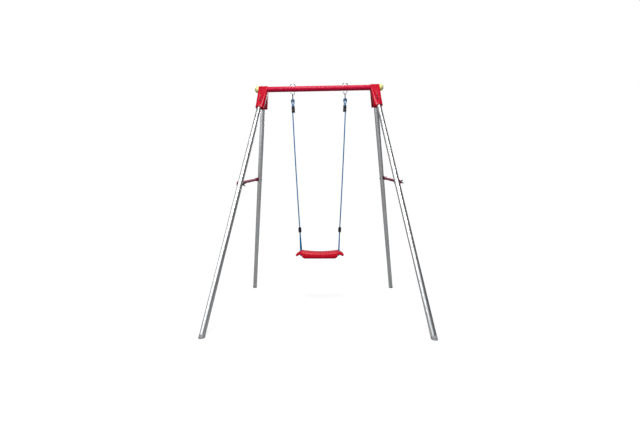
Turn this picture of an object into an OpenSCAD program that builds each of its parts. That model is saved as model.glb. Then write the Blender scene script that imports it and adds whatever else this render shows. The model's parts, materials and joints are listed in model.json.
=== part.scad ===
// Single garden swing set: a crossbar on two A-shaped pairs of legs, with one rope swing hung from it.
// Millimetres. The origin is on the ground under the middle of the crossbar.
// +X runs along the crossbar to the right, +Y to the rear and +Z up.

/* [Frame] */
// Height of the crossbar's axis above the ground
bar_height = 1990; // [1700:5:2400]
// Distance along the crossbar between the two points where the legs meet
bracket_span = 1016; // [800:2:1800]
// Distance between the left and the right feet
foot_span_x = 1560; // [1300:5:2400]
// Distance between the front and the rear feet
foot_span_y = 1500; // [1200:5:2000]

/* [Crossbar] */
// Outside diameter of the crossbar
bar_d = 48; // [42:0.5:60]
// Wall of the crossbar
bar_wall = 2; // [1.5:0.1:4]
// Length of the crossbar that stands out of each bracket's outer face
bar_overhang = 1; // [0.5:0.5:20]

/* [Crossbar caps] */
// Diameter of the domed end caps
cap_d = 62; // [54:1:80]
// Length of a cap from the bar's end to the top of its dome
cap_length = 40; // [24:1:60]
// Thickness of the cap's straight rim under the dome
cap_rim = 14; // [4:0.5:20]
// Length of the plug inside the crossbar
cap_plug = 14; // [8:1:15]

/* [Legs] */
// Outside diameter of a leg
leg_d = 42; // [36:0.5:46]
// Wall of a leg
leg_wall = 1.8; // [1.2:0.1:3]
// Distance down the leg's axis from the crossbar's axis to the leg's top end
leg_start = 64; // [60:1:74]
// Height of the plastic foot under the leg's cut end, at the leg's axis
foot_rim = 20; // [14:1:40]
// How much wider the foot is than the leg, each side
foot_lip = 0.8; // [0.2:0.1:4]
// Length of the foot's plug inside the leg
foot_plug = 32; // [15:1:60]

/* [Corner brackets] */
// Length of the bracket's sleeve along the crossbar
bracket_length = 82; // [76:1:130]
// Wall of the bracket round the crossbar
bracket_bar_wall = 5; // [4:0.5:8]
// Wall of the bracket round a leg, at the mouth
bracket_leg_wall = 5; // [4:0.5:8]
// Distance down the leg's axis from the crossbar's axis to the bracket's mouth
bracket_reach = 172; // [168:1:200]
// How much further the mouth reaches on the outside of the legs than between them, for each mm across
bracket_slant = 0.1; // [0:0.05:0.2]
// How far the mouth widens towards the middle of the swing set
bracket_web = 17; // [14:0.5:24]
// How far the mouth widens away from the middle of the swing set
bracket_flare = 8; // [0:0.5:14]
// Height of the hollow in the widened part of the mouth
bracket_pocket = 80; // [40:1:90]

/* [Bracket fasteners] */
// Diameter of the bolts through the legs and of the hanger bolts
bolt_d = 8; // [6:0.5:10]
// Distance down the leg to its bolt
leg_bolt_at = 146; // [138:1:150]
// Distance down the leg to its upper screw
leg_screw_at = 112; // [96:1:116]
// Diameter of the tapping screws
screw_d = 6; // [4:0.5:8]

/* [Side braces] */
// Height of a brace's bolt on the front leg
brace_front_z = 1085; // [800:5:1400]
// Height of a brace's bolt on the rear leg
brace_rear_z = 1195; // [800:5:1400]
// Diameter of the brace tube
brace_d = 25; // [22:0.5:28]
// Wall of the brace tube
brace_wall = 1.5; // [1:0.1:3]
// Half height of the flattened ends of the brace
ear_r = 18; // [16:0.5:20]
// Distance from a bolt to the end of the flattened part
ear_length = 36; // [34:0.5:60]
// Length over which the flattened part turns into the round tube
ear_neck = 24; // [16:0.5:40]

/* [Hangers] */
// Distance between the two hangers on the crossbar
hanger_span = 480; // [380:2:560]
// Distance between the two shanks of a hanger bolt
hanger_pitch = 30; // [26:0.5:40]
// Depth of the hanger bolt's bow under the crossbar, to the rod's axis
hanger_drop = 32; // [28:0.5:60]
// Thickness of the saddle between the nuts and the crossbar
saddle_t = 3; // [2:0.5:6]
// Width of the saddle across the crossbar
saddle_w = 22; // [20:1:32]

/* [Snap hooks] */
// Diameter of the hook's rod
hook_rod = 8; // [6.5:0.5:9]
// Radius of the hook's upper bow at the rod's axis
hook_top_r = 12; // [11.5:0.5:14]
// Radius of the hook's lower bow at the rod's axis
hook_low_r = 11.5; // [11:0.5:12]
// Distance between the centres of the two bows
hook_centres = 40; // [38:0.5:60]
// Diameter of the rivet that the gate turns on
rivet_d = 2.4; // [2:0.1:3]

/* [Ropes] */
// Diameter of the rope
rope_d = 10; // [8:0.5:10]
// Radius of the hole in the ring that the rope is looped round
ring_r = 5.5; // [5:0.5:8]
// Wall of the ring between its hole and the rope
ring_wall = 1.8; // [1.4:0.1:3]
// Thickness of the ring along its hole
ring_w = 9; // [7:0.5:9.5]
// Thickness of the rope adjuster and of the lower clip
runner_w = 27; // [22:0.5:36]
// Width of the rope adjuster over its two bores
adjuster_depth = 30; // [30:1:56]
// Length of the rope adjuster
adjuster_length = 60; // [50:1:80]
// Depth of the lower clip from front to rear
clip_depth = 36; // [32:1:50]
// Length of the lower clip
clip_length = 52; // [40:1:70]

/* [Seat] */
// Height of the rope's holes in the seat above the ground
seat_z = 510; // [480:1:540]
// Distance from the middle of the seat to the rope at either end
seat_rope_x = 172; // [160:1:185]
// Width of the seat over its ears
seat_width = 430; // [400:2:460]
// Depth of the seat from front to rear
seat_depth = 164; // [140:2:220]
// Depth of the seat's body at its rope holes, over the flat underside
seat_thickness = 69; // [60:1:80]
// How far the middle of the seat sags below its ends
seat_sag = 14; // [4:1:24]
// Drop of the ears from the rope hole to their tips
ear_drop = 30; // [15:1:40]
// Thickness of the seat round a rope hole
crest_t = 36; // [26:1:42]
// Wall of the seat over the hollows in its underside
seat_wall = 7; // [4:0.5:12]

/* [Hidden] */
$fn = 48;

// Names for the two sides and the two ends of a side
left = -1;
right = 1;
front = -1;
rear = 1;

// Clearances: a sleeve over a tube, a bolt in its hole, a screw's shank, a nut on its thread,
// a piece that turns near another, a rivet in the gate, a cap beside its bracket, and a cut's run past a face
sleeve_gap = 0.3;
bolt_gap = 0.3;
screw_gap = 0.1;
thread_gap = 0.05;
free_gap = 0.3;
rivet_gap = 0.05;
cap_gap = 1;
past = 1;

// Slope of the legs: outwards along X, then apart along Y in the plane of one side
splay = atan((foot_span_x - bracket_span) / 2 / bar_height);
slope_length = norm([(foot_span_x - bracket_span) / 2, bar_height]);
leg_angle = atan(foot_span_y / 2 / slope_length);
leg_axis_length = norm([slope_length, foot_span_y / 2]);
leg_drop = bar_height / leg_axis_length;
leg_end = leg_axis_length - foot_rim / leg_drop;

// Crossbar and its brackets
bar_length = bracket_span + bracket_length + 2 * bar_overhang;
bracket_bar_d = bar_d + 2 * (sleeve_gap + bracket_bar_wall);
mouth_d = leg_d + 2 * (sleeve_gap + bracket_leg_wall);
arm_top_d = bracket_bar_d - 4;
arm_top_shift = 2;
seat_face = mouth_d / 2 - 1;
pocket_wall = 4;
mouth_drop = bracket_slant * mouth_d / 2;
wall_t = 48;
wall_shift = 5;

// Hexagon fasteners: distance across flats, height of head and nut, washer
hex_af = 1.625 * bolt_d;
hex_d = hex_af / cos(30);
head_h = 0.66 * bolt_d;
nut_h = 0.8 * bolt_d;
spot_d = hex_d + 4;
screw_head_d = 2.1 * screw_d;
screw_head_h = 0.75 * screw_d;
bar_screw_offset = bracket_length / 4;
thread_past = 3;

// Brace ends in the plane of one side, as [y, z] from the legs' meeting point
function leg_point(z, end) = let (s = (bar_height - z) / leg_drop)
  [end * s * sin(leg_angle), -s * cos(leg_angle)];
brace_front = leg_point(brace_front_z, front);
brace_rear = leg_point(brace_rear_z, rear);
brace_run = brace_rear - brace_front;
brace_length = norm(brace_run);
brace_tilt = atan2(brace_run[1], brace_run[0]);
ear_t = 2 * brace_wall;
ear_inside = leg_d / 2 + sleeve_gap;
ear_middle = ear_inside + ear_t / 2;
brace_seat = leg_d / 2 + thread_gap;
brace_grip = brace_seat + ear_inside + ear_t;
washer_d = 2.1 * bolt_d;
washer_t = 1.6;

// Wing nut on a brace bolt: hub, then two wings
wing_hub_d = 17;
wing_hub_h = 11;
wing_span = 36;
wing_h = 23;
wing_t = 4;

// Hanger bolt: the bow's axis is what the swing turns on
bow_r = hanger_pitch / 2;
pivot_z = bar_height - bar_d / 2 - hanger_drop;
bow_z = pivot_z + bow_r;
saddle_top = bar_height + bar_d / 2 + saddle_t;
hanger_top = saddle_top + nut_h + thread_past;
nut_cap_d = hex_d + 3.6;
nut_cap_h = nut_h + thread_past + 4.5;

// Snap hook in its own plane, as [y, z] from the hanger bow's axis
hook_top = [0, bolt_d / 2 + free_gap + hook_rod / 2 - hook_top_r];
hook_low = [0, hook_top[1] - hook_centres];
hook_lean = asin((hook_top_r - hook_low_r) / hook_centres);
hook_side = [cos(hook_lean), -sin(hook_lean)];
hook_along = [sin(hook_lean), cos(hook_lean)];
hook_nose_tail = 2;
gate_pivot = hook_low + hook_low_r * hook_side + hook_nose_tail * hook_along;
gate_top = hook_top + hook_top_r * hook_side - hook_nose_tail * hook_along;
gate_length = norm(gate_top - gate_pivot) - 2 * free_gap;
hook_sides = 20;
hook_turns = 14;
hook_sweep = 180 + 2 * hook_lean;
function bow_point(centre, r, a) = centre + r * [cos(a), sin(a)];
hook_route = [
  gate_pivot,
  for (k = [0 : hook_turns]) bow_point(hook_low, hook_low_r, -hook_lean - (360 - hook_sweep) * k / hook_turns),
  for (k = [0 : hook_turns]) bow_point(hook_top, hook_top_r, 180 + hook_lean - hook_sweep * k / hook_turns),
  gate_top
];
tang_t = 2.2;
tang_r = hook_rod / 2 - 0.3;
gate_eye_r = hook_rod / 2 + 0.3;
gate_eye_w = hook_rod - 0.4;
latch_t = 2;
latch_length = 2.8;
latch_depth = 0.8;

// The ring hangs in the hook's lower bow by the edges of its hole, and the rope leans from there to the seat
ring_gap = 0.2;
ring_rest = sqrt(pow(hook_low_r - hook_rod / 2, 2) - pow(ring_w / 2, 2));
ring_z = pivot_z + hook_low[1] - ring_rest + ring_gap - ring_r;
rope_lean = atan((hanger_span / 2 - seat_rope_x) / (ring_z - seat_z));
rope_fit = 0.1;
loop_r = ring_r + ring_wall + rope_fit + rope_d / 2;
groove_depth = 2.4;
seat_at = -(ring_z - seat_z) / cos(rope_lean);
adjuster_top = -48;
adjuster_bore_y = 6.5;
clip_top = seat_at + 212;
clip_bore_y = 8;
rope_bore = rope_d + 1;
recess_w = 14;
recess_h = 22;
recess_depth = 6;

// Route of one rope as [across, z] from the ring's middle. It starts inside the adjuster, is looped round the
// ring, runs down, passes through the clip and under the seat, and ends in the clip
rope_sides = 8;
rope_step = 28;
loop_steps = 9;
adjuster_end = adjuster_top - adjuster_length;
clip_end = clip_top - clip_length;
seat_hole_y = 55;
seat_pass = seat_at - crest_t - rope_d / 2 - 3;
rope_bend = 9;
function rope_turn(s) = [
  for (a = [0, 30, 60, 90]) [s * (seat_hole_y - rope_bend * (1 - cos(a))), seat_pass + rope_bend * (1 - sin(a))]
];
rope_loop = [for (i = [0 : loop_steps]) let (a = 180 * i / loop_steps) loop_r * [cos(a), sin(a)]];
rope_route = concat(
  [[adjuster_bore_y, adjuster_end + 8], [adjuster_bore_y, adjuster_top + 6]], rope_loop,
  [[-adjuster_bore_y, adjuster_top + 6], [-adjuster_bore_y, adjuster_end - 4], [-clip_bore_y, clip_top + 5],
    [-clip_bore_y, clip_end - 4], [-clip_bore_y - 1.5, clip_end - 13], [1.5 - seat_hole_y, seat_at + 13],
    [-seat_hole_y, seat_at + 4]],
  rope_turn(-1), [for (i = [3 : -1 : 0]) rope_turn(1)[i]],
  [[seat_hole_y, seat_at + 4], [seat_hole_y - 1.5, seat_at + 13], [clip_bore_y + 1.5, clip_end - 13],
    [clip_bore_y, clip_end - 4], [clip_bore_y, clip_end + 22]]
);

// The loop round the ring lies along the crossbar and the part under the seat across it, so the rope turns
// a quarter on its way down
function quarter_turn(z) = 90 * min(1, max(0, (z - clip_top) / (adjuster_end - 20 - clip_top)));
function quarter_turned(p) = let (a = quarter_turn(p[2]))
  [p[0] * cos(a) - p[1] * sin(a), p[0] * sin(a) + p[1] * cos(a), p[2]];

// Seat: rings of points round the body at stations along X
seat_corner_steps = 5;
seat_round = 0.4;
seat_half = seat_width / 2;
seat_flat_x = 130;
seat_corner_x = seat_rope_x - 9;
seat_corner_run = seat_corner_x - seat_flat_x;
seat_bottom_z = seat_z - seat_thickness;
ear_start_x = seat_rope_x + 8;
ear_tip_x = seat_half - 9;
ear_tip_rise = 10;
ear_inset = 14;
pocket_columns = 5;
pocket_rows = 2;
pocket_w = 44;
pocket_rib = 4;
pocket_end_wall = seat_round * seat_thickness + 2;

steel = [0.72, 0.73, 0.74];
bright_red = [0.82, 0.05, 0.12];
crimson = [0.77, 0.06, 0.2];
dark_red = [0.45, 0.1, 0.18];
pale_yellow = [0.93, 0.9, 0.55];
black = [0.1, 0.11, 0.12];
grey = [0.45, 0.45, 0.46];
blue = [0.27, 0.47, 0.69];
navy = [0.1, 0.17, 0.28];

// Places what is modelled for the right side on either side
module on_half(side) {
  mirror([side < 0 ? 1 : 0, 0, 0]) children();
}

// Origin at the legs' meeting point on the crossbar's axis
module at_apex(side) {
  on_half(side) translate([bracket_span / 2, 0, bar_height]) children();
}

// Plane of one side's legs: X points outwards, Y to the rear and Z up the slope
module on_slope(side) {
  at_apex(side) rotate([0, -splay, 0]) children();
}

// Axis of one leg: -Z runs down the leg and Y points away from the other leg
module on_leg(side, end) {
  on_slope(side) rotate([end * leg_angle, 0, 0]) mirror([0, end < 0 ? 1 : 0, 0]) children();
}

// Hanger bow's axis
module at_pivot(side) {
  on_half(side) translate([hanger_span / 2, 0, pivot_z]) children();
}

// Plane of the snap hook: X and Y here are Y and Z of the swing set
module on_hook(side) {
  at_pivot(side) rotate([90, 0, 90]) children();
}

// Gate's own axis, from its rivet upwards
module on_gate(side) {
  on_hook(side) translate(gate_pivot) rotate([0, 0, -hook_lean]) children();
}

// Line of one rope: -Z runs down it from the ring's middle
module on_rope(side) {
  on_half(side) translate([hanger_span / 2, 0, ring_z]) rotate([0, rope_lean, 0]) children();
}

// Cylinder along X
module rod_x(d, length) {
  rotate([0, 90, 0]) cylinder(d = d, h = length, center = true);
}

// Cylinder along Y from one place to another
module rod_y(d, from, to) {
  translate([0, from, 0]) rotate([-90, 0, 0]) cylinder(d = d, h = to - from);
}

// Bent rod in the XY plane about the origin
module rod_arc(r, d, from, to) {
  rotate([0, 0, from]) rotate_extrude(angle = to - from) translate([r, 0]) circle(d = d);
}

// Straight rod in the XY plane between two points
module rod_line(a, b, d) {
  run = b - a;
  translate([a[0], a[1], 0]) rotate([0, 90, atan2(run[1], run[0])]) cylinder(d = d, h = norm(run));
}

// Bent rod along a flat route: further points on its long runs, a ring of corners at each point and
// triangles between the rings
function with_steps(route, step) = [
  for (i = [0 : len(route) - 2])
    let (run = route[i + 1] - route[i], count = ceil(norm(run) / step))
      for (k = [0 : count - 1]) route[i] + run * k / count,
  route[len(route) - 1]
];
function route_normal(points, i) =
  let (a = points[max(i - 1, 0)], b = points[min(i + 1, len(points) - 1)], run = (b - a) / norm(b - a))
    [-run[1], run[0]];
function tube_points(points, d, sides) = [
  for (i = [0 : len(points) - 1])
    let (side = route_normal(points, i))
      for (k = [0 : sides - 1])
        let (a = 360 * (k + 0.5) / sides, across = d / 2 * cos(a))
          [points[i][0] + across * side[0], points[i][1] + across * side[1], d / 2 * sin(a)]
];
function tube_faces(rings, sides) = [
  [for (k = [0 : sides - 1]) k],
  for (i = [0 : rings - 2]) for (k = [0 : sides - 1])
    let (a = i * sides + k, b = i * sides + (k + 1) % sides)
      each [[a, a + sides, b], [b, a + sides, b + sides]],
  [for (k = [sides - 1 : -1 : 0]) (rings - 1) * sides + k]
];

module bent_rod(points, d, sides) {
  polyhedron(tube_points(points, d, sides), tube_faces(len(points), sides));
}

// Hexagon prism along Z with its bore
module hex_nut() {
  difference() {
    cylinder(d = hex_d, h = nut_h, $fn = 6);
    translate([0, 0, -past]) cylinder(d = bolt_d + 2 * thread_gap, h = nut_h + 2 * past);
  }
}

// Flat outline with round ends, along Y
module stadium(w, length) {
  for (s = [-1, 1]) translate([0, s * (length - w) / 2]) circle(d = w);
  square([w, length - w], center = true);
}

module top_bar() {
  color(crimson) difference() {
    translate([0, 0, bar_height]) rod_x(bar_d, bar_length);
    translate([0, 0, bar_height]) rod_x(bar_d - 2 * bar_wall, bar_length + 2 * past);
    for (side = [left, right]) {
      for (s = [-1, 1]) {
        on_half(side) translate([hanger_span / 2 + s * bow_r, 0, bar_height])
          cylinder(d = bolt_d + 2 * bolt_gap, h = 2 * bar_d, center = true);
        at_apex(side) translate([s * bar_screw_offset, 0, 0])
          cylinder(d = screw_d + 2 * screw_gap, h = bar_d);
      }
    }
  }
}

module bar_cap(side) {
  dome_h = cap_length - cap_rim;
  dome_r = (pow(cap_d / 2, 2) + pow(dome_h, 2)) / (2 * dome_h);
  color(pale_yellow) on_half(side) translate([bar_length / 2, 0, bar_height]) rotate([0, 90, 0])
    rotate_extrude() {
      square([cap_d / 2, cap_rim]);
      translate([0, -cap_plug]) square([bar_d / 2 - bar_wall - sleeve_gap, cap_plug]);
      intersection() {
        translate([0, cap_length - dome_r]) circle(r = dome_r);
        translate([0, cap_rim]) square([cap_d / 2, dome_h]);
      }
    }
}

// Leans what is across a leg, so that it reaches further down on the outside of the legs
module slanted() {
  multmatrix([[1, 0, 0, 0], [0, 1, 0, 0], [0, -bracket_slant, 1, 0], [0, 0, 0, 1]]) children();
}

// One tapered arm from the crossbar's sleeve down to its slanted mouth round a leg
module bracket_arm(side, end) {
  hull() {
    at_apex(side) translate([0, end * arm_top_shift, 0]) rod_x(arm_top_d, bracket_length - 2, $fn = 32);
    on_leg(side, end) translate([0, 0, -bracket_reach]) slanted() for (x = [bracket_flare, -bracket_web])
      translate([x, 0, 0]) cylinder(d = mouth_d, h = 4, $fn = 32);
  }
}

// Two skins that close the gap between the arms on either side of the legs, open below
module bracket_wall(side) {
  low = 0.8 * bracket_reach * cos(leg_angle);
  out = low * tan(leg_angle);
  roof = 0.75 * bracket_bar_d;
  on_slope(side) translate([-wall_t / 2 - wall_shift, 0, 0]) rotate([90, 0, 90]) difference() {
    linear_extrude(wall_t) polygon([[-out, -low], [out, -low], [0.3 * out, 0], [-0.3 * out, 0]]);
    translate([0, 0, bracket_leg_wall]) linear_extrude(wall_t - 2 * bracket_leg_wall)
      polygon([[2 - out, -low - past], [out - 2, -low - past], [0.25 * out, -roof], [-0.25 * out, -roof]]);
  }
}

// Holes of a leg's two fasteners, as deep as asked
module leg_holes(side, end, from) {
  on_leg(side, end) {
    translate([0, 0, -leg_bolt_at]) rod_y(bolt_d + 2 * bolt_gap, -mouth_d, mouth_d);
    translate([0, 0, -leg_screw_at]) rod_y(screw_d + 2 * screw_gap, from, mouth_d);
  }
}

module corner_bracket(side) {
  pocket_x = leg_d / 2 + sleeve_gap + pocket_wall;
  pocket_end = bracket_web + mouth_d / 2 - pocket_wall;
  pocket_y = 0.45 * mouth_d;
  color(bright_red) difference() {
    union() {
      at_apex(side) rod_x(bracket_bar_d, bracket_length);
      for (end = [front, rear]) bracket_arm(side, end);
      bracket_wall(side);
    }
    at_apex(side) {
      rod_x(bar_d + 2 * sleeve_gap, bracket_length + 2 * past);
      translate([bracket_length / 2, 0, 0]) rotate([0, 90, 0]) cylinder(d = cap_d + 2 * cap_gap, h = 2 * cap_length);
      for (s = [-1, 1]) translate([s * bar_screw_offset, 0, 0]) {
        cylinder(d = screw_d + 2 * screw_gap, h = bar_d);
        translate([0, 0, bracket_bar_d / 2 - 1]) cylinder(d = screw_head_d + 2, h = bar_d);
      }
    }
    for (end = [front, rear]) {
      leg_holes(side, end, 0);
      on_leg(side, end) {
        translate([0, 0, -bracket_reach - mouth_drop - past])
          cylinder(d = leg_d + 2 * sleeve_gap, h = bracket_reach + mouth_drop - leg_start + 2 * past);
        translate([-pocket_end, -pocket_y / 2, -bracket_reach - mouth_drop])
          cube([pocket_end - pocket_x, pocket_y, bracket_pocket + mouth_drop]);
        translate([0, 0, -leg_bolt_at]) {
          rod_y(spot_d, seat_face, mouth_d);
          rod_y(spot_d, -mouth_d, -seat_face);
        }
        translate([0, 0, -leg_screw_at]) rod_y(screw_head_d + 2, seat_face, mouth_d);
      }
    }
  }
}

module leg(side, end) {
  brace_z = end == front ? brace_front_z : brace_rear_z;
  color(steel) difference() {
    on_leg(side, end) translate([0, 0, -leg_end]) cylinder(d = leg_d, h = leg_end - leg_start);
    on_leg(side, end) translate([0, 0, -leg_end - past])
      cylinder(d = leg_d - 2 * leg_wall, h = leg_end - leg_start + 2 * past);
    leg_holes(side, end, 0);
    on_leg(side, end) translate([0, 0, -(bar_height - brace_z) / leg_drop])
      rod_x(bolt_d + 2 * bolt_gap, 2 * leg_d);
  }
}

module foot(side, end) {
  below = 4 * foot_rim;
  color(grey) difference() {
    on_leg(side, end) {
      translate([0, 0, -leg_end]) cylinder(d = leg_d - 2 * leg_wall - 2 * sleeve_gap, h = foot_plug);
      translate([0, 0, -leg_end - below]) cylinder(d = leg_d + 2 * foot_lip, h = below);
    }
    translate([0, 0, -below]) cube([2 * foot_span_x, 2 * foot_span_y, 2 * below], center = true);
  }
}

// Flattened end of a brace: X runs from the bolt towards the tube, and the tube's axis lies on the XY plane
module brace_end() {
  linear_extrude(ear_t, center = true) {
    circle(r = ear_r);
    translate([0, -ear_r]) square([ear_length, 2 * ear_r]);
  }
  hull() {
    translate([ear_length - 6, -ear_r + 0.3, -ear_t / 2 + 0.1]) cube([past, 2 * ear_r - 0.6, ear_t - 0.2]);
    translate([ear_length + ear_neck, 0, 0]) rotate([0, 90, 0]) cylinder(d = brace_d - 0.4, h = past, $fn = 32);
  }
}

// Line of a brace in the plane of one side: X runs from the front leg's bolt to the rear one's, Z outwards
module on_brace(side) {
  on_slope(side) translate([0, brace_front[0], brace_front[1]]) rotate([90, 0, 90])
    rotate([0, 0, brace_tilt]) children();
}

module brace(side) {
  tube_end = ear_length + ear_neck;
  color(dark_red) on_brace(side) translate([0, 0, ear_middle]) difference() {
    union() {
      brace_end();
      translate([brace_length, 0, 0]) mirror([1, 0, 0]) brace_end();
      rod_line([tube_end, 0], [brace_length - tube_end, 0], brace_d);
    }
    rod_line([tube_end + 2, 0], [brace_length - tube_end - 2, 0], brace_d - 2 * brace_wall);
    for (x = [0, brace_length]) translate([x, 0, 0])
      cylinder(d = bolt_d + 2 * bolt_gap, h = 4 * ear_t, center = true);
  }
}

// Places a bolt at each end of each brace: its head on the origin's plane, its nut at the end of the grip.
// The nuts are on the outside, but for the front left one
module at_brace_bolts() {
  for (side = [left, right]) for (end = [front, rear]) {
    inwards = side == left && end == front;
    on_brace(side) translate([end == front ? 0 : brace_length, 0, inwards ? ear_inside + ear_t : -brace_seat])
      mirror([0, 0, inwards ? 1 : 0]) children();
  }
}

module brace_bolts() {
  head_r = 1.1 * bolt_d;
  head_t = 0.5 * bolt_d;
  ball_r = (pow(head_r, 2) + pow(head_t, 2)) / (2 * head_t);
  shank_end = brace_grip + washer_t + wing_hub_h + 1;
  color(steel) at_brace_bolts() {
    cylinder(d = bolt_d, h = shank_end);
    rotate([180, 0, 0]) rotate_extrude() intersection() {
      translate([0, head_t - ball_r]) circle(r = ball_r);
      square([head_r, head_t]);
    }
  }
}

module brace_washers() {
  color(steel) at_brace_bolts() translate([0, 0, brace_grip]) difference() {
    cylinder(d = washer_d, h = washer_t);
    translate([0, 0, -past]) cylinder(d = bolt_d + 2 * bolt_gap, h = washer_t + 2 * past);
  }
}

module brace_wing_nuts() {
  tip_r = 6;
  color(black) at_brace_bolts() translate([0, 0, brace_grip + washer_t]) rotate([0, 0, 60]) difference() {
    union() {
      rotate_extrude() polygon([[0, 0], [wing_hub_d / 2, 0], [wing_hub_d / 2 - 2, wing_hub_h], [0, wing_hub_h]]);
      for (s = [0, 180]) rotate([90, 0, s]) linear_extrude(wing_t, center = true) {
        polygon([[2, 0], [wing_hub_d / 2, 0], [wing_span / 2, wing_h - tip_r], [wing_span / 2 - 2 * tip_r, wing_h - tip_r],
          [2, wing_hub_h]]);
        translate([wing_span / 2 - tip_r, wing_h - tip_r]) circle(r = tip_r);
      }
    }
    translate([0, 0, -past]) cylinder(d = bolt_d + 2 * thread_gap, h = wing_h + 2 * past);
  }
}

module leg_bolts() {
  color(black) for (side = [left, right]) for (end = [front, rear])
    on_leg(side, end) translate([0, 0, -leg_bolt_at]) {
      rod_y(bolt_d, -seat_face - nut_h - thread_past, seat_face);
      translate([0, seat_face, 0]) rotate([-90, 0, 0]) cylinder(d = hex_d, h = head_h, $fn = 6);
    }
}

module leg_nuts() {
  color(black) for (side = [left, right]) for (end = [front, rear])
    on_leg(side, end) translate([0, -seat_face, -leg_bolt_at]) rotate([90, 0, 0]) hex_nut();
}

// Tapping screw along Z: the head stands on the origin's plane
module tapping_screw(length) {
  cylinder(d = screw_head_d, h = screw_head_h, $fn = 6);
  translate([0, 0, -length]) cylinder(d = screw_d, h = length);
}

module leg_screws() {
  grip = 12;
  color(black) for (side = [left, right]) for (end = [front, rear])
    on_leg(side, end) translate([0, seat_face, -leg_screw_at]) rotate([-90, 0, 0]) tapping_screw(grip);
}

module bar_screws() {
  grip = 12;
  color(steel) for (side = [left, right]) for (s = [-1, 1])
    at_apex(side) translate([s * bar_screw_offset, 0, bracket_bar_d / 2 - 1]) tapping_screw(grip);
}

module hanger_bolt(side) {
  color(steel) on_half(side) translate([hanger_span / 2, 0, bow_z]) {
    for (s = [-1, 1]) translate([s * bow_r, 0, 0]) cylinder(d = bolt_d, h = hanger_top - bow_z);
    rotate([-90, 0, 0]) rod_arc(bow_r, bolt_d, 0, 180);
  }
}

module hanger_saddle(side) {
  bore_gap = 0.1;
  color(steel) on_half(side) translate([hanger_span / 2, 0, bar_height]) difference() {
    rotate([0, 0, 90]) linear_extrude(saddle_top - bar_height) stadium(saddle_w, hanger_pitch + saddle_w);
    rod_x(bar_d + 2 * bore_gap, 4 * hanger_pitch);
    for (s = [-1, 1]) translate([s * bow_r, 0, 0]) cylinder(d = bolt_d + 2 * bolt_gap, h = bar_d);
  }
}

// Places what sits on each of the four hanger shanks
module at_hanger_nuts() {
  for (side = [left, right]) for (s = [-1, 1])
    on_half(side) translate([hanger_span / 2 + s * bow_r, 0, saddle_top]) children();
}

module hanger_nuts() {
  color(steel) at_hanger_nuts() hex_nut();
}

module hanger_nut_caps() {
  crown = 4;
  color(black) at_hanger_nuts() rotate_extrude() difference() {
    union() {
      square([nut_cap_d / 2, nut_cap_h - crown]);
      square([nut_cap_d / 2 - crown, nut_cap_h]);
      translate([nut_cap_d / 2 - crown, nut_cap_h - crown]) circle(r = crown);
    }
    translate([0, -past]) square([hex_d / 2 + sleeve_gap, nut_h + thread_past + 1 + past]);
    translate([-nut_cap_d, -past]) square([nut_cap_d, nut_cap_h + 2 * past]);
  }
}

module hook(side) {
  color(steel) difference() {
    union() {
      on_hook(side) bent_rod(hook_route, hook_rod, hook_sides);
      on_gate(side) cylinder(r = tang_r, h = tang_t, center = true);
    }
    on_gate(side) {
      cylinder(d = rivet_d + 2 * thread_gap, h = 2 * hook_rod, center = true);
      for (s = [0, 180]) rotate([0, s, 0]) translate([0, 0, tang_t / 2])
        cylinder(r = gate_eye_r + free_gap, h = hook_rod);
      translate([-hook_rod, gate_length, -latch_t / 2 - free_gap])
        cube([hook_rod + latch_depth + free_gap, latch_length + 2 * free_gap, latch_t + 2 * free_gap]);
    }
  }
}

module hook_gate(side) {
  color(steel) on_gate(side) {
    difference() {
      union() {
        rod_line([0, 0], [0, gate_length], hook_rod);
        cylinder(r = gate_eye_r, h = gate_eye_w, center = true);
      }
      cylinder(d = rivet_d + 2 * rivet_gap, h = 2 * hook_rod, center = true);
      translate([-hook_rod, -hook_rod, -tang_t / 2 - free_gap])
        cube([2 * hook_rod, hook_rod + tang_r + 2 * free_gap, tang_t + 2 * free_gap]);
    }
    translate([-hook_rod / 2 + 0.5, gate_length - 1, -latch_t / 2])
      cube([hook_rod / 2 - 0.5 + latch_depth, latch_length + 1, latch_t]);
  }
}

module hook_rivets() {
  color(steel) for (side = [left, right]) on_gate(side) cylinder(d = rivet_d, h = gate_eye_w, center = true);
}

module rope_ring(side) {
  color(navy) on_rope(side) rotate([90, 0, 0]) rotate_extrude() difference() {
    translate([ring_r, -ring_w / 2]) square([ring_wall + groove_depth, ring_w]);
    translate([loop_r, 0]) circle(r = rope_d / 2 + rope_fit);
  }
}

module rope(side) {
  points = with_steps(rope_route, rope_step);
  color(blue) on_rope(side) polyhedron(
    [for (p = tube_points(points, rope_d, rope_sides)) quarter_turned([p[2], p[0], p[1]])],
    tube_faces(len(points), rope_sides));
}

// Rounded block on the rope, with two bores along it: Z is the rope's line and the top lies on the origin's plane
module runner(depth, length, bore_y) {
  difference() {
    intersection() {
      translate([0, 0, -length]) linear_extrude(length) stadium(runner_w, depth);
      translate([0, 0, -length / 2]) rotate([90, 0, 0]) linear_extrude(depth, center = true)
        stadium(runner_w, length);
    }
    for (s = [-1, 1]) translate([0, s * bore_y, -length - past]) cylinder(d = rope_bore, h = length + 2 * past);
  }
}

module adjuster(side) {
  color(black) on_rope(side) translate([0, 0, adjuster_top]) rotate([0, 0, 90]) difference() {
    runner(adjuster_depth, adjuster_length, adjuster_bore_y);
    for (s = [-1, 1]) translate([s * runner_w / 2, 0, -adjuster_length / 2]) rotate([90, 0, 90])
      linear_extrude(2 * recess_depth, center = true) stadium(recess_w, recess_h);
  }
}

module rope_clip(side) {
  color(black) on_rope(side) translate([0, 0, clip_top]) runner(clip_depth, clip_length, clip_bore_y);
}

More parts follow.
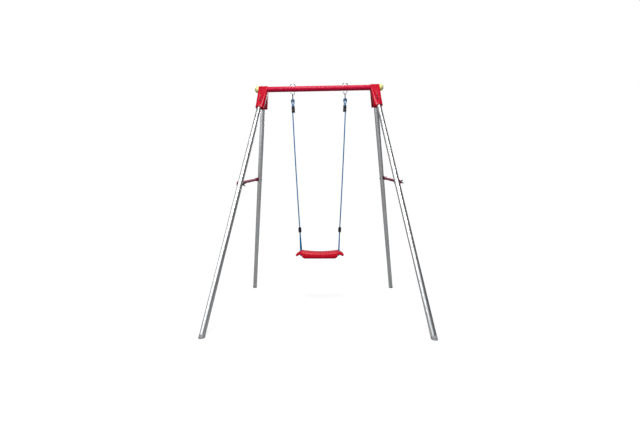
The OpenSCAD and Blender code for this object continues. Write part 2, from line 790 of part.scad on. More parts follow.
// Heights of the seat's top and underside and half its depth, by distance from its middle
function seat_top(x) = x <= seat_rope_x
  ? seat_z - seat_sag * (1 - pow(x / seat_rope_x, 2))
  : seat_z - ear_drop * (x - seat_rope_x) / (seat_half - seat_rope_x);
function seat_bottom(x) =
  let (notch_z = seat_z - crest_t, rise = notch_z - seat_bottom_z, ear_low = seat_top(ear_tip_x) - 0.75 * crest_t)
    x <= seat_flat_x ? seat_bottom_z
    : x <= seat_corner_x
      ? seat_bottom_z + rise * (1 - sqrt(1 - pow((x - seat_flat_x) / (seat_corner_x - seat_flat_x), 2)))
      : x <= ear_start_x ? notch_z
      : x <= ear_tip_x ? notch_z + (ear_low - notch_z) * (x - ear_start_x) / (ear_tip_x - ear_start_x)
      : ear_low + ear_tip_rise * (x - ear_tip_x) / (seat_half - ear_tip_x);
function seat_side(x) = seat_depth / 2 - ear_inset * pow(x / seat_half, 4);

// Ring of points round the seat at one station: four rounded corners in the YZ plane
function seat_ring(x) =
  let (top = seat_top(abs(x)), low = seat_bottom(abs(x)), side = seat_side(abs(x)), r = seat_round * (top - low))
    [for (c = [0 : 3]) for (k = [0 : seat_corner_steps])
      let (a = 90 * c + 90 * k / seat_corner_steps, y = (c == 0 || c == 3 ? 1 : -1) * (side - r),
        z = c < 2 ? top - r : low + r)
        [x, y + r * cos(a), z + r * sin(a)]];
seat_stations = [0, 24, 48, 72, 96, 114, seat_flat_x, for (k = [0.35, 0.62, 0.81, 0.92]) seat_flat_x + k * seat_corner_run,
  seat_corner_x, seat_rope_x, ear_start_x, 192, ear_tip_x, (ear_tip_x + seat_half) / 2, seat_half];
seat_xs = concat([for (i = [len(seat_stations) - 1 : -1 : 1]) -seat_stations[i]], seat_stations);

module seat_body() {
  ring = 4 * (seat_corner_steps + 1);
  polyhedron([for (x = seat_xs) each seat_ring(x)], tube_faces(len(seat_xs), ring));
}

// Hollows in the underside, between the ribs
module seat_pockets() {
  pocket_y = (seat_depth - 2 * pocket_end_wall - (pocket_rows - 1) * pocket_rib) / pocket_rows;
  for (i = [0 : pocket_columns - 1]) for (j = [0 : pocket_rows - 1]) {
    x = (i - (pocket_columns - 1) / 2) * (pocket_w + pocket_rib);
    y = (j - (pocket_rows - 1) / 2) * (pocket_y + pocket_rib);
    ceiling = seat_top(max(abs(x) - pocket_w / 2, 0)) - seat_wall;
    translate([x - pocket_w / 2, y - pocket_y / 2, seat_bottom_z - past])
      cube([pocket_w, pocket_y, ceiling - seat_bottom_z + past]);
  }
}

module seat() {
  color(bright_red) difference() {
    seat_body();
    seat_pockets();
    for (side = [left, right]) on_rope(side) for (s = [-1, 1])
      translate([0, s * seat_hole_y, seat_at - 2 * crest_t]) cylinder(d = rope_bore, h = 4 * crest_t);
  }
}

top_bar();
bar_cap(left);  // bar_cap_left
bar_cap(right);  // bar_cap_right
corner_bracket(left);  // corner_bracket_left
corner_bracket(right);  // corner_bracket_right
leg(left, front);  // leg_front_left
leg(right, front);  // leg_front_right
leg(left, rear);  // leg_rear_left
leg(right, rear);  // leg_rear_right
foot(left, front);  // foot_front_left
foot(right, front);  // foot_front_right
foot(left, rear);  // foot_rear_left
foot(right, rear);  // foot_rear_right
brace(left);  // brace_left
brace(right);  // brace_right
leg_bolts();
leg_nuts();
leg_screws();
bar_screws();
brace_bolts();
brace_washers();
brace_wing_nuts();
hanger_bolt(left);  // hanger_bolt_left
hanger_bolt(right);  // hanger_bolt_right
hanger_saddle(left);  // hanger_saddle_left
hanger_saddle(right);  // hanger_saddle_right
hanger_nuts();
hanger_nut_caps();
hook(left);  // hook_left
hook(right);  // hook_right
hook_gate(left);  // hook_gate_left
hook_gate(right);  // hook_gate_right
hook_rivets();
rope_ring(left);  // rope_ring_left
rope_ring(right);  // rope_ring_right
rope(left);  // rope_left
rope(right);  // rope_right
adjuster(left);  // adjuster_left
adjuster(right);  // adjuster_right
rope_clip(left);  // rope_clip_left
rope_clip(right);  // rope_clip_right
seat();
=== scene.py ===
"""Garden swing set: a red crossbar on four zinc-coated legs, with one rope swing, in a plain studio.

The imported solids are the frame. What is smooth and right in them stays and is given its finish here, and the
pieces that show more than a plain solid are modelled anew in the same place. Everything is in metres.
"""

from __future__ import annotations

import json
import logging
import math
from contextlib import contextmanager
from dataclasses import dataclass, field
from enum import Enum
from typing import Any, Iterator, Optional, Sequence

import bpy
from mathutils import Matrix, Vector

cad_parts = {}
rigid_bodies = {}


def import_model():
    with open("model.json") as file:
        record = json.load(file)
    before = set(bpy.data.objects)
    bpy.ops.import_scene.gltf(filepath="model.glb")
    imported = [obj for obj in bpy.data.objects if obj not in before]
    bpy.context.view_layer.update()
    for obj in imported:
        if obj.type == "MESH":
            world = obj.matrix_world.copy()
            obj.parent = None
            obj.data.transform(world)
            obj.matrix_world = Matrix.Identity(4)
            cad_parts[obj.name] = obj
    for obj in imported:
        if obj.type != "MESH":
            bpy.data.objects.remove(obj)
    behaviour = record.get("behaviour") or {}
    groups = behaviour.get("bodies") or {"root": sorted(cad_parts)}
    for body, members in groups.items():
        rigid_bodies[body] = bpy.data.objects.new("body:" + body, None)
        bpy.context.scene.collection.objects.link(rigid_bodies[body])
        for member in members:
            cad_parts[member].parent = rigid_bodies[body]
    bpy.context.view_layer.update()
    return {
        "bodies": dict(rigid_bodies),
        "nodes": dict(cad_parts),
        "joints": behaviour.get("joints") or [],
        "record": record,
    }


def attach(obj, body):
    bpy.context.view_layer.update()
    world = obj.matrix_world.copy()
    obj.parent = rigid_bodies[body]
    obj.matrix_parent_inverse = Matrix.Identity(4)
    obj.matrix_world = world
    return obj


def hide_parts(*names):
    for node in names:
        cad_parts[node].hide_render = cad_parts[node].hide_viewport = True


LOG = logging.getLogger("swing_set")
MM = 0.001
WHITE = (1.0, 1.0, 1.0, 1.0)
UNIT = (0.0, 1.0)
TOUCHING = 1e-5
FLAT_DEGREES = 0.6

# Heads, nuts and washers, as shares of a bolt's or screw's diameter.
FLATS = 1.625
NUT_HEIGHT = 0.8
HEAD_HEIGHT = 0.66
SCREW_CORNERS = 2.1
SCREW_HEAD = 0.75
CUP_RADIUS = 1.1
WASHER_RADIUS = 1.05
# Roots and tip of a thread and the pole of a dome, as shares of their radius.
THREAD_ROOT = 0.93
BOLT_TIP = 0.8
POLE = 0.02
# Rings of a hexagon's chamfered sides, of a head's crown and of a nut's bore, as shares of the radius at its
# corners, or of the bore's diameter, and of its height.
HEX_SIDES = ((0.9, 0.0), (1.0, 0.06), (1.0, 0.86), (0.9, 1.0))
HEX_CROWN = ((0.82, 1.02),)
HEX_BORE = ((0.56, 1.0), (0.5, 0.92))

Pair = tuple[float, float]
Piece = bpy.types.Object
Tree = bpy.types.NodeTree
Node = bpy.types.Node
Socket = bpy.types.NodeSocket


class Named(Enum):
    """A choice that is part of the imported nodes' names."""

    @property
    def word(self) -> str:
        """Lower-case name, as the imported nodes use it."""
        return self.name.lower()


class Side(Named):
    """The two ends of the crossbar, by the sign of X."""

    LEFT = -1
    RIGHT = 1


class End(Named):
    """The two legs of one side, by the sign of Y."""

    FRONT = -1
    REAR = 1


class Way(Named):
    """The two fasteners of a pair along the crossbar, towards its middle and away from it."""

    INNER = -1
    OUTER = 1


CORNERS = [(side, end) for side in Side for end in End]
PAIRS = [(side, way) for side in Side for way in Way]


class Body(Enum):
    """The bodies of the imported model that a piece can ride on."""

    FRAME = "frame"
    SWING = "swing"
    GATE_LEFT = "gate_left"
    GATE_RIGHT = "gate_right"


@dataclass(frozen=True)
class Rounding:
    """Rounded edges: width, faces across, and the angle in degrees from which an edge counts as sharp."""

    width: float
    segments: int
    angle: float


def turn(degrees: float, axis: str) -> Matrix:
    """Rotation by degrees about a named axis."""
    return Matrix.Rotation(math.radians(degrees), 4, axis)


def move(x: float, y: float, z: float) -> Matrix:
    """Translation along the three axes."""
    return Matrix.Translation((x, y, z))


def arc(degrees: float, steps: int, first: int = 0) -> list[Pair]:
    """Cosine and sine of even steps from zero to an angle, from the first that is wanted."""
    angles = [math.radians(degrees * step / steps) for step in range(first, steps + 1)]
    return [(math.cos(angle), math.sin(angle)) for angle in angles]


def linear(hex_colour: str) -> tuple[float, float, float, float]:
    """Turn an sRGB hex colour into linear light.

    Args:
        hex_colour: Six hex digits after the leading mark.

    Returns:
        Linear red, green, blue and an alpha of one.
    """
    channels = []
    for start in (1, 3, 5):
        value = int(hex_colour[start:start + 2], 16) / 255
        channels.append(value / 12.92 if value <= 0.04045 else ((value + 0.055) / 1.055) ** 2.4)
    return channels[0], channels[1], channels[2], 1.0


@dataclass(frozen=True)
class Layout:
    """Sizes of the swing set and the places of its parts, repeated from the solids' own values."""

    bar_height: float = 1.990
    bracket_span: float = 1.016
    foot_span_x: float = 1.560
    foot_span_y: float = 1.500
    bar_d: float = 0.048
    bar_length: float = 1.100
    bracket_bar_d: float = 0.0586
    leg_d: float = 0.042
    leg_wall: float = 0.0018
    foot_rim: float = 0.020
    brace_front_z: float = 1.085
    brace_rear_z: float = 1.195
    hanger_span: float = 0.480
    hanger_pitch: float = 0.030
    hanger_drop: float = 0.032
    saddle_t: float = 0.003
    ring_drop: float = 0.0550
    seat_z: float = 0.510
    seat_rope_x: float = 0.172

    @property
    def spread(self) -> float:
        """Run outwards of a side's plane from the crossbar's axis to the ground."""
        return (self.foot_span_x - self.bracket_span) / 2

    @property
    def leg_length(self) -> float:
        """Length of a leg's axis from the crossbar's axis to the ground."""
        return math.hypot(self.spread, self.foot_span_y / 2, self.bar_height)

    @property
    def leg_angle(self) -> float:
        """Angle of a leg from the middle of its side's plane, in degrees."""
        return math.degrees(math.asin(self.foot_span_y / 2 / self.leg_length))

    @property
    def leg_drop(self) -> float:
        """Height lost for each metre down a leg."""
        return self.bar_height / self.leg_length

    @property
    def leg_end(self) -> float:
        """Distance down a leg's axis to its cut end."""
        return self.leg_length - self.foot_rim / self.leg_drop

    @property
    def ring_z(self) -> float:
        """Height of the rope ring's middle."""
        return self.bar_height - self.bar_d / 2 - self.hanger_drop - self.ring_drop

    @property
    def rope_lean(self) -> float:
        """Lean of a rope towards the middle, in degrees."""
        run = self.hanger_span / 2 - self.seat_rope_x
        return math.degrees(math.atan(run / (self.ring_z - self.seat_z)))

    @property
    def seat_at(self) -> float:
        """Place of the seat's rope holes along a rope's line, from the ring's middle."""
        return -(self.ring_z - self.seat_z) / math.cos(math.radians(self.rope_lean))

    @property
    def brace_run(self) -> Vector:
        """Vector from a brace's front bolt to its rear one, in its side's plane."""
        return self.leg_point(self.brace_rear_z, End.REAR) - self.leg_point(self.brace_front_z, End.FRONT)

    def half(self, side: Side) -> Matrix:
        """Mirror that puts what is made for the right side on either side."""
        return Matrix.Scale(side.value, 4, (1, 0, 0))

    def apex(self, side: Side) -> Matrix:
        """Place on the crossbar's axis where a side's legs meet."""
        return self.half(side) @ move(self.bracket_span / 2, 0, self.bar_height)

    def slope(self, side: Side) -> Matrix:
        """Plane of one side's legs: X outwards, Y to the rear, Z up the slope."""
        return self.apex(side) @ turn(-math.degrees(math.atan(self.spread / self.bar_height)), "Y")

    def leg(self, side: Side, end: End) -> Matrix:
        """Axis of one leg: -Z down the leg, Y away from the other leg."""
        flip = Matrix.Scale(end.value, 4, (0, 1, 0))
        return self.slope(side) @ turn(end.value * self.leg_angle, "X") @ flip

    def leg_point(self, height: float, end: End) -> Vector:
        """Find where a leg's axis is at a height.

        Args:
            height: Height above the ground.
            end: Front or rear leg.

        Returns:
            Y and Z in its side's plane.
        """
        along = (self.bar_height - height) / self.leg_drop
        angle = math.radians(self.leg_angle)
        return Vector((end.value * along * math.sin(angle), -along * math.cos(angle)))

    def brace(self, side: Side) -> Matrix:
        """Place a brace's line: X from the front bolt to the rear one, Z outwards.

        Args:
            side: Side of the frame.

        Returns:
            The line's frame at the front bolt.
        """
        start = self.leg_point(self.brace_front_z, End.FRONT)
        tilt = math.degrees(math.atan2(self.brace_run.y, self.brace_run.x))
        upright = turn(90, "Z") @ turn(90, "X")
        return self.slope(side) @ move(0, start.x, start.y) @ upright @ turn(tilt, "Z")

    def rope(self, side: Side) -> Matrix:
        """Line of one rope: -Z down it from the ring's middle, X outwards."""
        return self.half(side) @ move(self.hanger_span / 2, 0, self.ring_z) @ turn(self.rope_lean, "Y")


LAYOUT = Layout()


def set_all(thing: Any, settings: dict[str, Any]) -> None:
    """Set several properties of one thing."""
    for key, value in settings.items():
        setattr(thing, key, value)


def feed(tree: Tree, node: Node, inputs: dict[Any, Any]) -> None:
    """Fill a node's inputs.

    Args:
        tree: Node tree that holds the node.
        node: Node to fill.
        inputs: Values, or output sockets to join, by input socket name or index.
    """
    for key, value in inputs.items():
        if isinstance(value, Socket):
            tree.links.new(value, node.inputs[key])
        else:
            node.inputs[key].default_value = value


def add_node(tree: Tree, kind: str, inputs: Optional[dict[Any, Any]] = None, **settings: Any) -> Node:
    """Add one shader node with its settings and inputs.

    Args:
        tree: Node tree to add to.
        kind: Blender's name of the node's type, past what all shader nodes share.
        inputs: Values, or output sockets to join, by input socket name or index.
        settings: Properties of the node itself.

    Returns:
        The new node.
    """
    node = tree.nodes.new(f"ShaderNode{kind}")
    set_all(node, settings)
    feed(tree, node, inputs or {})
    return node


def noise(tree: Tree, size_mm: float, detail: float = 1.0) -> Socket:
    """Noise of a size in millimetres, in the piece's own coordinates."""
    inputs = {"Vector": own_place(tree), "Scale": 1 / (size_mm * MM), "Detail": detail}
    return add_node(tree, "TexNoise", inputs).outputs["Fac"]


def own_place(tree: Tree) -> Socket:
    """Coordinates of the piece itself."""
    return add_node(tree, "TexCoord").outputs["Object"]


def calc(tree: Tree, operation: str, *values: Any) -> Socket:
    """Result of one operation on values or sockets."""
    return add_node(tree, "Math", dict(enumerate(values)), operation=operation).outputs["Value"]


def ranged(tree: Tree, value: Socket, span: Pair, ends: Pair, **settings: Any) -> Socket:
    """Map the two ends of a value's span to two others."""
    limits = zip(("From Min", "From Max", "To Min", "To Max"), (*span, *ends))
    return add_node(tree, "MapRange", {"Value": value, **dict(limits)}, **settings).outputs["Result"]


def bump(tree: Tree, height: Socket, depth_mm: float, strength: float = 0.5, **under: Socket) -> Socket:
    """Bump a surface by a height, over the normal of a slower bump where one is given as Normal."""
    inputs = {"Height": height, "Distance": depth_mm * MM, "Strength": strength, **under}
    return add_node(tree, "Bump", inputs).outputs["Normal"]


@dataclass(frozen=True)
class Finish:
    """One finish of the swing set: its colour and shine, and the marks of how its surface was made."""

    name: str
    slot: str
    colour: str
    roughness: float
    gloss: float = 0.5
    rub: Pair = (0.85, 1.2)
    shade: float = 0.06

    def material(self) -> bpy.types.Material:
        """Make the finish's material once and give the same one after that.

        Returns:
            The material, with its surface dressed.
        """
        found = bpy.data.materials.get(self.name)
        if found:
            return found
        made = bpy.data.materials.new(self.name)
        made.use_nodes = True
        tree = made.node_tree
        plain = {"Base Color": linear(self.colour), "Roughness": self.roughness,
                 "Specular IOR Level": self.gloss}
        feed(tree, tree.nodes["Principled BSDF"], {**plain, **self.dress(tree)})
        return made

    def dress(self, tree: Tree) -> dict[str, Any]:
        """Add the surface's own marks. Each kind of finish has its own.

        Args:
            tree: Node tree to add to.

        Returns:
            Shader inputs by name.
        """
        raise NotImplementedError

    def tones(self, tree: Tree, share: Socket) -> Socket:
        """Colour that runs from a shade darker than the finish's own to a shade lighter.

        Args:
            tree: Node tree to add to.
            share: Zero for the darkest, one for the lightest.

        Returns:
            The colour.
        """
        base = Vector(linear(self.colour)[:3])
        ramp = add_node(tree, "ValToRGB", {"Fac": share})
        for element, level in zip(ramp.color_ramp.elements, (1 - self.shade, 1 + self.shade)):
            element.color = (*(base * level), 1)
        return ramp.outputs["Color"]

    def rubbed(self, tree: Tree, share: Socket, span: Pair = UNIT) -> Socket:
        """Roughness between two multiples of the finish's own, along a span of a share."""
        return ranged(tree, share, span, (self.roughness * self.rub[0], self.roughness * self.rub[1]))

    def give(self, piece: Piece) -> None:
        """Put the finish on a piece in place of what it had.

        Args:
            piece: Object to dress.
        """
        piece.data.materials.clear()
        piece.data.materials.append(self.material())


@dataclass(frozen=True)
class PowderCoat(Finish):
    """Baked powder paint on steel: a slight orange peel, a little duller where hands wear it."""

    peel_mm: float = 5.0
    peel_depth_mm: float = 0.010
    cloud_mm: float = 130.0

    def dress(self, tree: Tree) -> dict[str, Any]:
        """Orange peel in the bump, and slow variation in colour and shine.

        Args:
            tree: Node tree to add to.

        Returns:
            Shader inputs by name.
        """
        cloud = noise(tree, self.cloud_mm, 3.0)
        return {
            "Base Color": self.tones(tree, cloud),
            "Roughness": self.rubbed(tree, cloud),
            "Normal": bump(tree, noise(tree, self.peel_mm), self.peel_depth_mm),
        }


@dataclass(frozen=True)
class MouldedPlastic(Finish):
    """Injection-moulded or blown plastic: even colour, fine spark-eroded grain, slow waves from cooling."""

    grain_mm: float = 1.6
    grain_depth_mm: float = 0.008
    grain_strength: float = 0.4
    wave_mm: float = 45.0
    wave_depth_mm: float = 0.08
    glow: float = 0.0
    glow_reach: tuple[float, float, float] = (0.004, 0.002, 0.001)

    def dress(self, tree: Tree) -> dict[str, Any]:
        """Grain and cooling waves in the bump, and a slight unevenness of colour and shine.

        Args:
            tree: Node tree to add to.

        Returns:
            Shader inputs by name.
        """
        wave = noise(tree, self.wave_mm)
        slow = bump(tree, wave, self.wave_depth_mm)
        grain = noise(tree, self.grain_mm)
        return {
            "Base Color": self.tones(tree, wave),
            "Roughness": self.rubbed(tree, wave),
            "Subsurface Weight": self.glow,
            "Subsurface Radius": self.glow_reach,
            "Normal": bump(tree, grain, self.grain_depth_mm, self.grain_strength, Normal=slow),
        }


@dataclass(frozen=True)
class ZincSkin(Finish):
    """Zinc on steel: grey metal with a faint crystal spangle, slow dull patches and an uneven skin."""

    rub: Pair = (1.15, 0.9)
    shade: float = 0.05
    spangle_mm: float = 14.0
    patch_mm: float = 160.0
    patch: float = 0.10
    patch_span: Pair = (0.35, 0.65)
    skin_mm: float = 30.0
    skin_depth_mm: float = 0.02

    def dress(self, tree: Tree) -> dict[str, Any]:
        """Spangle and dull patches in colour and shine, and a slow unevenness in the bump.

        Args:
            tree: Node tree to add to.

        Returns:
            Shader inputs by name.
        """
        inputs = {"Vector": own_place(tree), "Scale": 1 / (self.spangle_mm * MM)}
        crystals = add_node(tree, "TexVoronoi", inputs)
        grey = add_node(tree, "SeparateColor", {"Color": crystals.outputs["Color"]})
        stains = noise(tree, self.patch_mm, 4.0)
        dull = ranged(tree, stains, self.patch_span, (1 - self.patch, 1.0))
        tone = self.tones(tree, grey.outputs["Red"])
        stained = add_node(tree, "VectorMath", {0: tone, 1: dull}, operation="MULTIPLY")
        return {
            "Metallic": 1.0,
            "Base Color": stained.outputs["Vector"],
            "Roughness": self.rubbed(tree, stains, self.patch_span),
            "Normal": bump(tree, noise(tree, self.skin_mm), self.skin_depth_mm),
        }


@dataclass(frozen=True)
class SmallZinc(ZincSkin):
    """Plated or blackened small steel pieces, with finer crystals and a flatter skin."""

    spangle_mm: float = 2.0
    skin_mm: float = 6.0
    skin_depth_mm: float = 0.004


@dataclass(frozen=True)
class RopeFibre(Finish):
    """Braided polypropylene: satin strands, each with its filaments along it."""

    shade: float = 0.28
    fuzz_mm: float = 3.125
    filaments: int = 9
    filament_depth_mm: float = 0.12
    filament_strength: float = 0.6
    sheen: float = 0.05

    def dress(self, tree: Tree) -> dict[str, Any]:
        """Filaments along each strand from the strand's own map, and fuzz in its colour.

        Args:
            tree: Node tree to add to.

        Returns:
            Shader inputs by name.
        """
        strands = add_node(tree, "UVMap", uv_map="strand")
        across = add_node(tree, "SeparateXYZ", {"Vector": strands.outputs["UV"]})
        ridge = calc(tree, "SINE", calc(tree, "MULTIPLY", across.outputs["X"], self.filaments * 2 * math.pi))
        return {
            "Base Color": self.tones(tree, noise(tree, self.fuzz_mm, 3.0)),
            "Sheen Weight": self.sheen,
            "Normal": bump(tree, ridge, self.filament_depth_mm, self.filament_strength),
        }


# Crossbar: polyester powder paint over steel tube, crimson.
CROSSBAR_PAINT = PowderCoat("crimson_powder_coat", "crossbar_paint", "#c8083a", 0.30, 0.16)
# Braces: the same kind of paint in a darker, duller red.
BRACE_PAINT = PowderCoat("maroon_powder_coat", "brace_paint", "#9a1e44", 0.42, 0.15)
# Caps: blown polyethylene, pale yellow, slightly translucent.
CAP_PLASTIC = MouldedPlastic("pale_yellow_polyethylene", "cap_plastic", "#ece89c", 0.34, glow=0.15)
# Brackets: glass-filled polypropylene, bright red and smooth.
BRACKET_PLASTIC = MouldedPlastic(
    "bright_red_polypropylene", "bracket_plastic", "#c00026", 0.26, 0.14, shade=0.05)
# Seat: blow-moulded polyethylene, red, with a coarser grain.
SEAT_PLASTIC = MouldedPlastic(
    "red_polyethylene", "seat_plastic", "#d20a2a", 0.30, 0.16, glow=0.05, grain_depth_mm=0.012)
# Legs: hot-dip zinc on drawn steel tube.
LEG_ZINC = ZincSkin("bright_zinc_coat", "zinc_tube", "#dcdee0", 0.34)
# Feet: grey polyethylene plugs.
FOOT_PLASTIC = MouldedPlastic("grey_polyethylene", "foot_plastic", "#94969a", 0.55)
# Fasteners and hangers: bright zinc plating.
FASTENER_ZINC = SmallZinc("zinc_plating", "zinc_fastener", "#a4a7ab", 0.28, shade=0.04, spangle_mm=2.5)
# Leg bolts and screws: blackened steel.
DARK_STEEL = SmallZinc("blackened_steel", "dark_fastener", "#3a3436", 0.42, shade=0.08)
# Snap hooks: dull zinc plating.
HOOK_STEEL = SmallZinc("dull_zinc_plating", "hook_steel", "#545a60", 0.36)
# Adjusters, clips, wing nuts and nut caps: black nylon.
BLACK_NYLON = MouldedPlastic("black_nylon", "black_plastic", "#14181e", 0.40, 0.25)
# Rings: dark blue nylon.
RING_NYLON = MouldedPlastic("navy_nylon", "ring_plastic", "#1c2c4a", 0.36)
# Ropes: blue polypropylene braid.
ROPE_FIBRE = RopeFibre("blue_polypropylene_braid", "rope_fibre", "#0672a8", 0.75, 0.08)


def take(piece: Piece) -> None:
    """Select one object alone and make it the active one.

    Args:
        piece: Object to select.
    """
    bpy.ops.object.select_all(action="DESELECT")
    piece.select_set(True)
    bpy.context.view_layer.objects.active = piece


@contextmanager
def editing(piece: Piece, mode: str = "FACE", action: Optional[str] = "SELECT") -> Iterator[None]:
    """Edit one piece while the block lasts, with all of it selected at first.

    Args:
        piece: Object to edit.
        mode: Kind of element that is selected.
        action: What select_all does first, or None for the selection that the mesh has.

    Yields:
        Nothing.
    """
    take(piece)
    bpy.ops.object.mode_set(mode="EDIT")
    bpy.ops.mesh.select_mode(type=mode)
    if action:
        bpy.ops.mesh.select_all(action=action)
    yield
    bpy.ops.object.mode_set(mode="OBJECT")


def face_out() -> None:
    """Turn all faces of the piece in edit mode outwards."""
    bpy.ops.mesh.select_all(action="SELECT")
    bpy.ops.mesh.normals_make_consistent(inside=False)


def added(name: str, data: Any) -> Piece:
    """Put a new object into the scene.

    Args:
        name: Name of the object.
        data: Mesh, lamp or camera that it holds.

    Returns:
        The object, at the origin.
    """
    thing = bpy.data.objects.new(name, data)
    bpy.context.scene.collection.objects.link(thing)
    return thing


def block(size: Sequence[float], middle: Sequence[float]) -> Piece:
    """Model a box.

    Args:
        size: Its three lengths.
        middle: Its middle.

    Returns:
        The box.
    """
    bpy.ops.mesh.primitive_cube_add(size=1.0)
    piece = bpy.context.object
    with editing(piece):
        bpy.ops.transform.resize(value=size)
        bpy.ops.transform.translate(value=middle)
    return piece


def turned(rings: Sequence[Pair], segments: int, crease: Optional[float] = None) -> Piece:
    """Turn a solid about Z: start from a disc and extrude it ring by ring.

    Args:
        rings: Radius and height of each ring, from the first face to the last.
        segments: Corners of each ring.
        crease: Edges sharper than this many degrees stay crisp; without it all do.

    Returns:
        A closed solid at the origin.
    """
    radius, height = rings[0]
    bpy.ops.mesh.primitive_circle_add(vertices=segments, radius=radius, fill_type="NGON")
    piece = bpy.context.object
    with editing(piece):
        bpy.ops.transform.translate(value=(0, 0, height))
        for wide, high in rings[1:]:
            bpy.ops.mesh.extrude_region_move(TRANSFORM_OT_translate={"value": (0, 0, high - height)})
            ratio = wide / radius
            bpy.ops.transform.resize(value=(ratio, ratio, 1), center_override=(0, 0, high))
            radius, height = wide, high
        face_out()
    if crease:
        smooth(piece, crease)
    return piece


def dome(radius: float, foot: float, crown: float, steps: int) -> list[Pair]:
    """Rings of a round dome from its edge to near its pole.

    Args:
        radius: Radius at the dome's edge.
        foot: Height of the edge.
        crown: Height of the pole.
        steps: Rings between them.

    Returns:
        Radius and height of each ring.
    """
    rise = crown - foot
    ball = (radius * radius + rise * rise) / (2 * rise)
    full = math.degrees(math.asin(min(1.0, radius / ball)))
    round_part = [(ball * s, crown - ball * (1 - c)) for c, s in reversed(arc(full, steps, 1)[:-1])]
    return [*round_part, (radius * POLE, crown)]


def thread(radius: float, start: float, pitch: float, count: int) -> list[Pair]:
    """Rings of a thread's roots and crests, half a pitch apart after a starting height."""
    levels = [1.0 if step % 2 else THREAD_ROOT for step in range(count)]
    return [(radius * level, start + step * pitch / 2) for step, level in enumerate(levels, 1)]


def hexagon(across: float, height: float, bore: float = 0.0) -> Piece:
    """Hexagon head or nut about Z with chamfered corners.

    Args:
        across: Distance across flats.
        height: Height from the seat.
        bore: Diameter of a threaded hole, or none.

    Returns:
        The solid, standing on the origin's plane.
    """
    corner = across / math.sqrt(3)
    top, reach = (HEX_BORE, bore) if bore else (HEX_CROWN, corner)
    rings = [(corner * wide, height * high) for wide, high in HEX_SIDES]
    rings += [(reach * wide, height * high) for wide, high in top]
    return turned(rings, segments=6, crease=30)


def modify(piece: Piece, kind: str, **settings: Any) -> None:
    """Apply one modifier to a piece.

    Args:
        piece: Object to change.
        kind: Blender's name of the modifier's type.
        settings: Properties of the modifier.
    """
    take(piece)
    step = piece.modifiers.new(kind.lower(), kind)
    set_all(step, settings)
    bpy.ops.object.modifier_apply(modifier=step.name)


def round_edges(piece: Piece, edges: Rounding) -> None:
    """Round a piece's sharp edges."""
    modify(piece, "BEVEL", width=edges.width, segments=edges.segments, limit_method="ANGLE",
           angle_limit=math.radians(edges.angle), miter_outer="MITER_ARC")


def smooth(piece: Piece, angle: float) -> None:
    """Shade a piece smooth where its faces meet at less than an angle in degrees."""
    take(piece)
    bpy.ops.object.shade_smooth_by_angle(angle=math.radians(angle))


def put(piece: Piece, matrix: Matrix) -> Piece:
    """Move a piece's mesh, with its object left at the origin.

    Args:
        piece: Object to move.
        matrix: Where it goes; a mirror turns its faces round again.

    Returns:
        The same object.
    """
    piece.data.transform(matrix)
    if matrix.determinant() < 0:
        piece.data.flip_normals()
    piece.data.update()
    return piece


def repeat(master: Piece, spots: dict[str, Matrix]) -> list[Piece]:
    """Copy a piece to several places and remove the one that was copied.

    Args:
        master: Piece as it was modelled.
        spots: Name and place of each copy.

    Returns:
        The copies, each with a mesh of its own.
    """
    copies = []
    for name, spot in spots.items():
        mesh = master.data.copy()
        mesh.name = name
        copies.append(put(added(name, mesh), spot))
    bpy.data.objects.remove(master)
    return copies


def joined(pieces: Sequence[Piece], crease: Optional[float] = None) -> Piece:
    """Join several objects into the first.

    Args:
        pieces: Objects to join.
        crease: Edges sharper than this many degrees stay crisp; without it the shading is kept.

    Returns:
        The joined object.
    """
    take(pieces[0])
    for piece in pieces[1:]:
        piece.select_set(True)
    bpy.ops.object.join()
    if crease:
        smooth(pieces[0], crease)
    return pieces[0]


@dataclass
class Assembly:
    """A group of pieces that is built and dressed together."""

    nodes: dict[str, Piece]
    made: list[str] = field(default_factory=list)

    def keep(self, node: str, finish: Finish) -> None:
        """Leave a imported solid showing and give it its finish."""
        finish.give(self.nodes[node])
        self.made.append(node)

    def stand_for(self, piece: Piece, finish: Finish, body: Body, node: str) -> None:
        """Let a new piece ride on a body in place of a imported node.

        Args:
            piece: Finished piece.
            finish: Its finish.
            body: Body that it moves with.
            node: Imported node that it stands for, alone or with others.
        """
        finish.give(piece)
        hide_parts(node)
        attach(piece, body.value)
        self.made.append(piece.name)

    def copies(self, master: Piece, spots: dict[str, Matrix], finish: Finish, node: str) -> None:
        """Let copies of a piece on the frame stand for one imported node."""
        for piece in repeat(master, spots):
            self.stand_for(piece, finish, Body.FRAME, node)

    def finer(self, node: str, name: str, edges: Rounding, finish: Finish, body: Body = Body.FRAME) -> Piece:
        """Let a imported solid's copy stand for it, with its loose faces joined and its edges rounded.

        Args:
            node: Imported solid.
            name: Name of the new piece.
            edges: Rounding of its edges; with a width of zero they are only shaded.
            finish: Its finish.
            body: Body that it moves with.

        Returns:
            The new piece.
        """
        piece = added(name, self.nodes[node].data.copy())
        piece.data.name = name
        take(piece)
        bpy.ops.mesh.customdata_custom_splitnormals_clear()
        with editing(piece):
            bpy.ops.mesh.remove_doubles(threshold=TOUCHING)
            bpy.ops.mesh.dissolve_limited(angle_limit=math.radians(FLAT_DEGREES))
        if edges.width:
            round_edges(piece, edges)
        smooth(piece, edges.angle)
        self.stand_for(piece, finish, body, node)
        return piece

    def build(self) -> None:
        """Make the group's pieces. Each group has its own."""
        raise NotImplementedError

    def report(self) -> None:
        """Log what was made."""
        LOG.info("%s: %s", type(self).__name__, ", ".join(self.made))


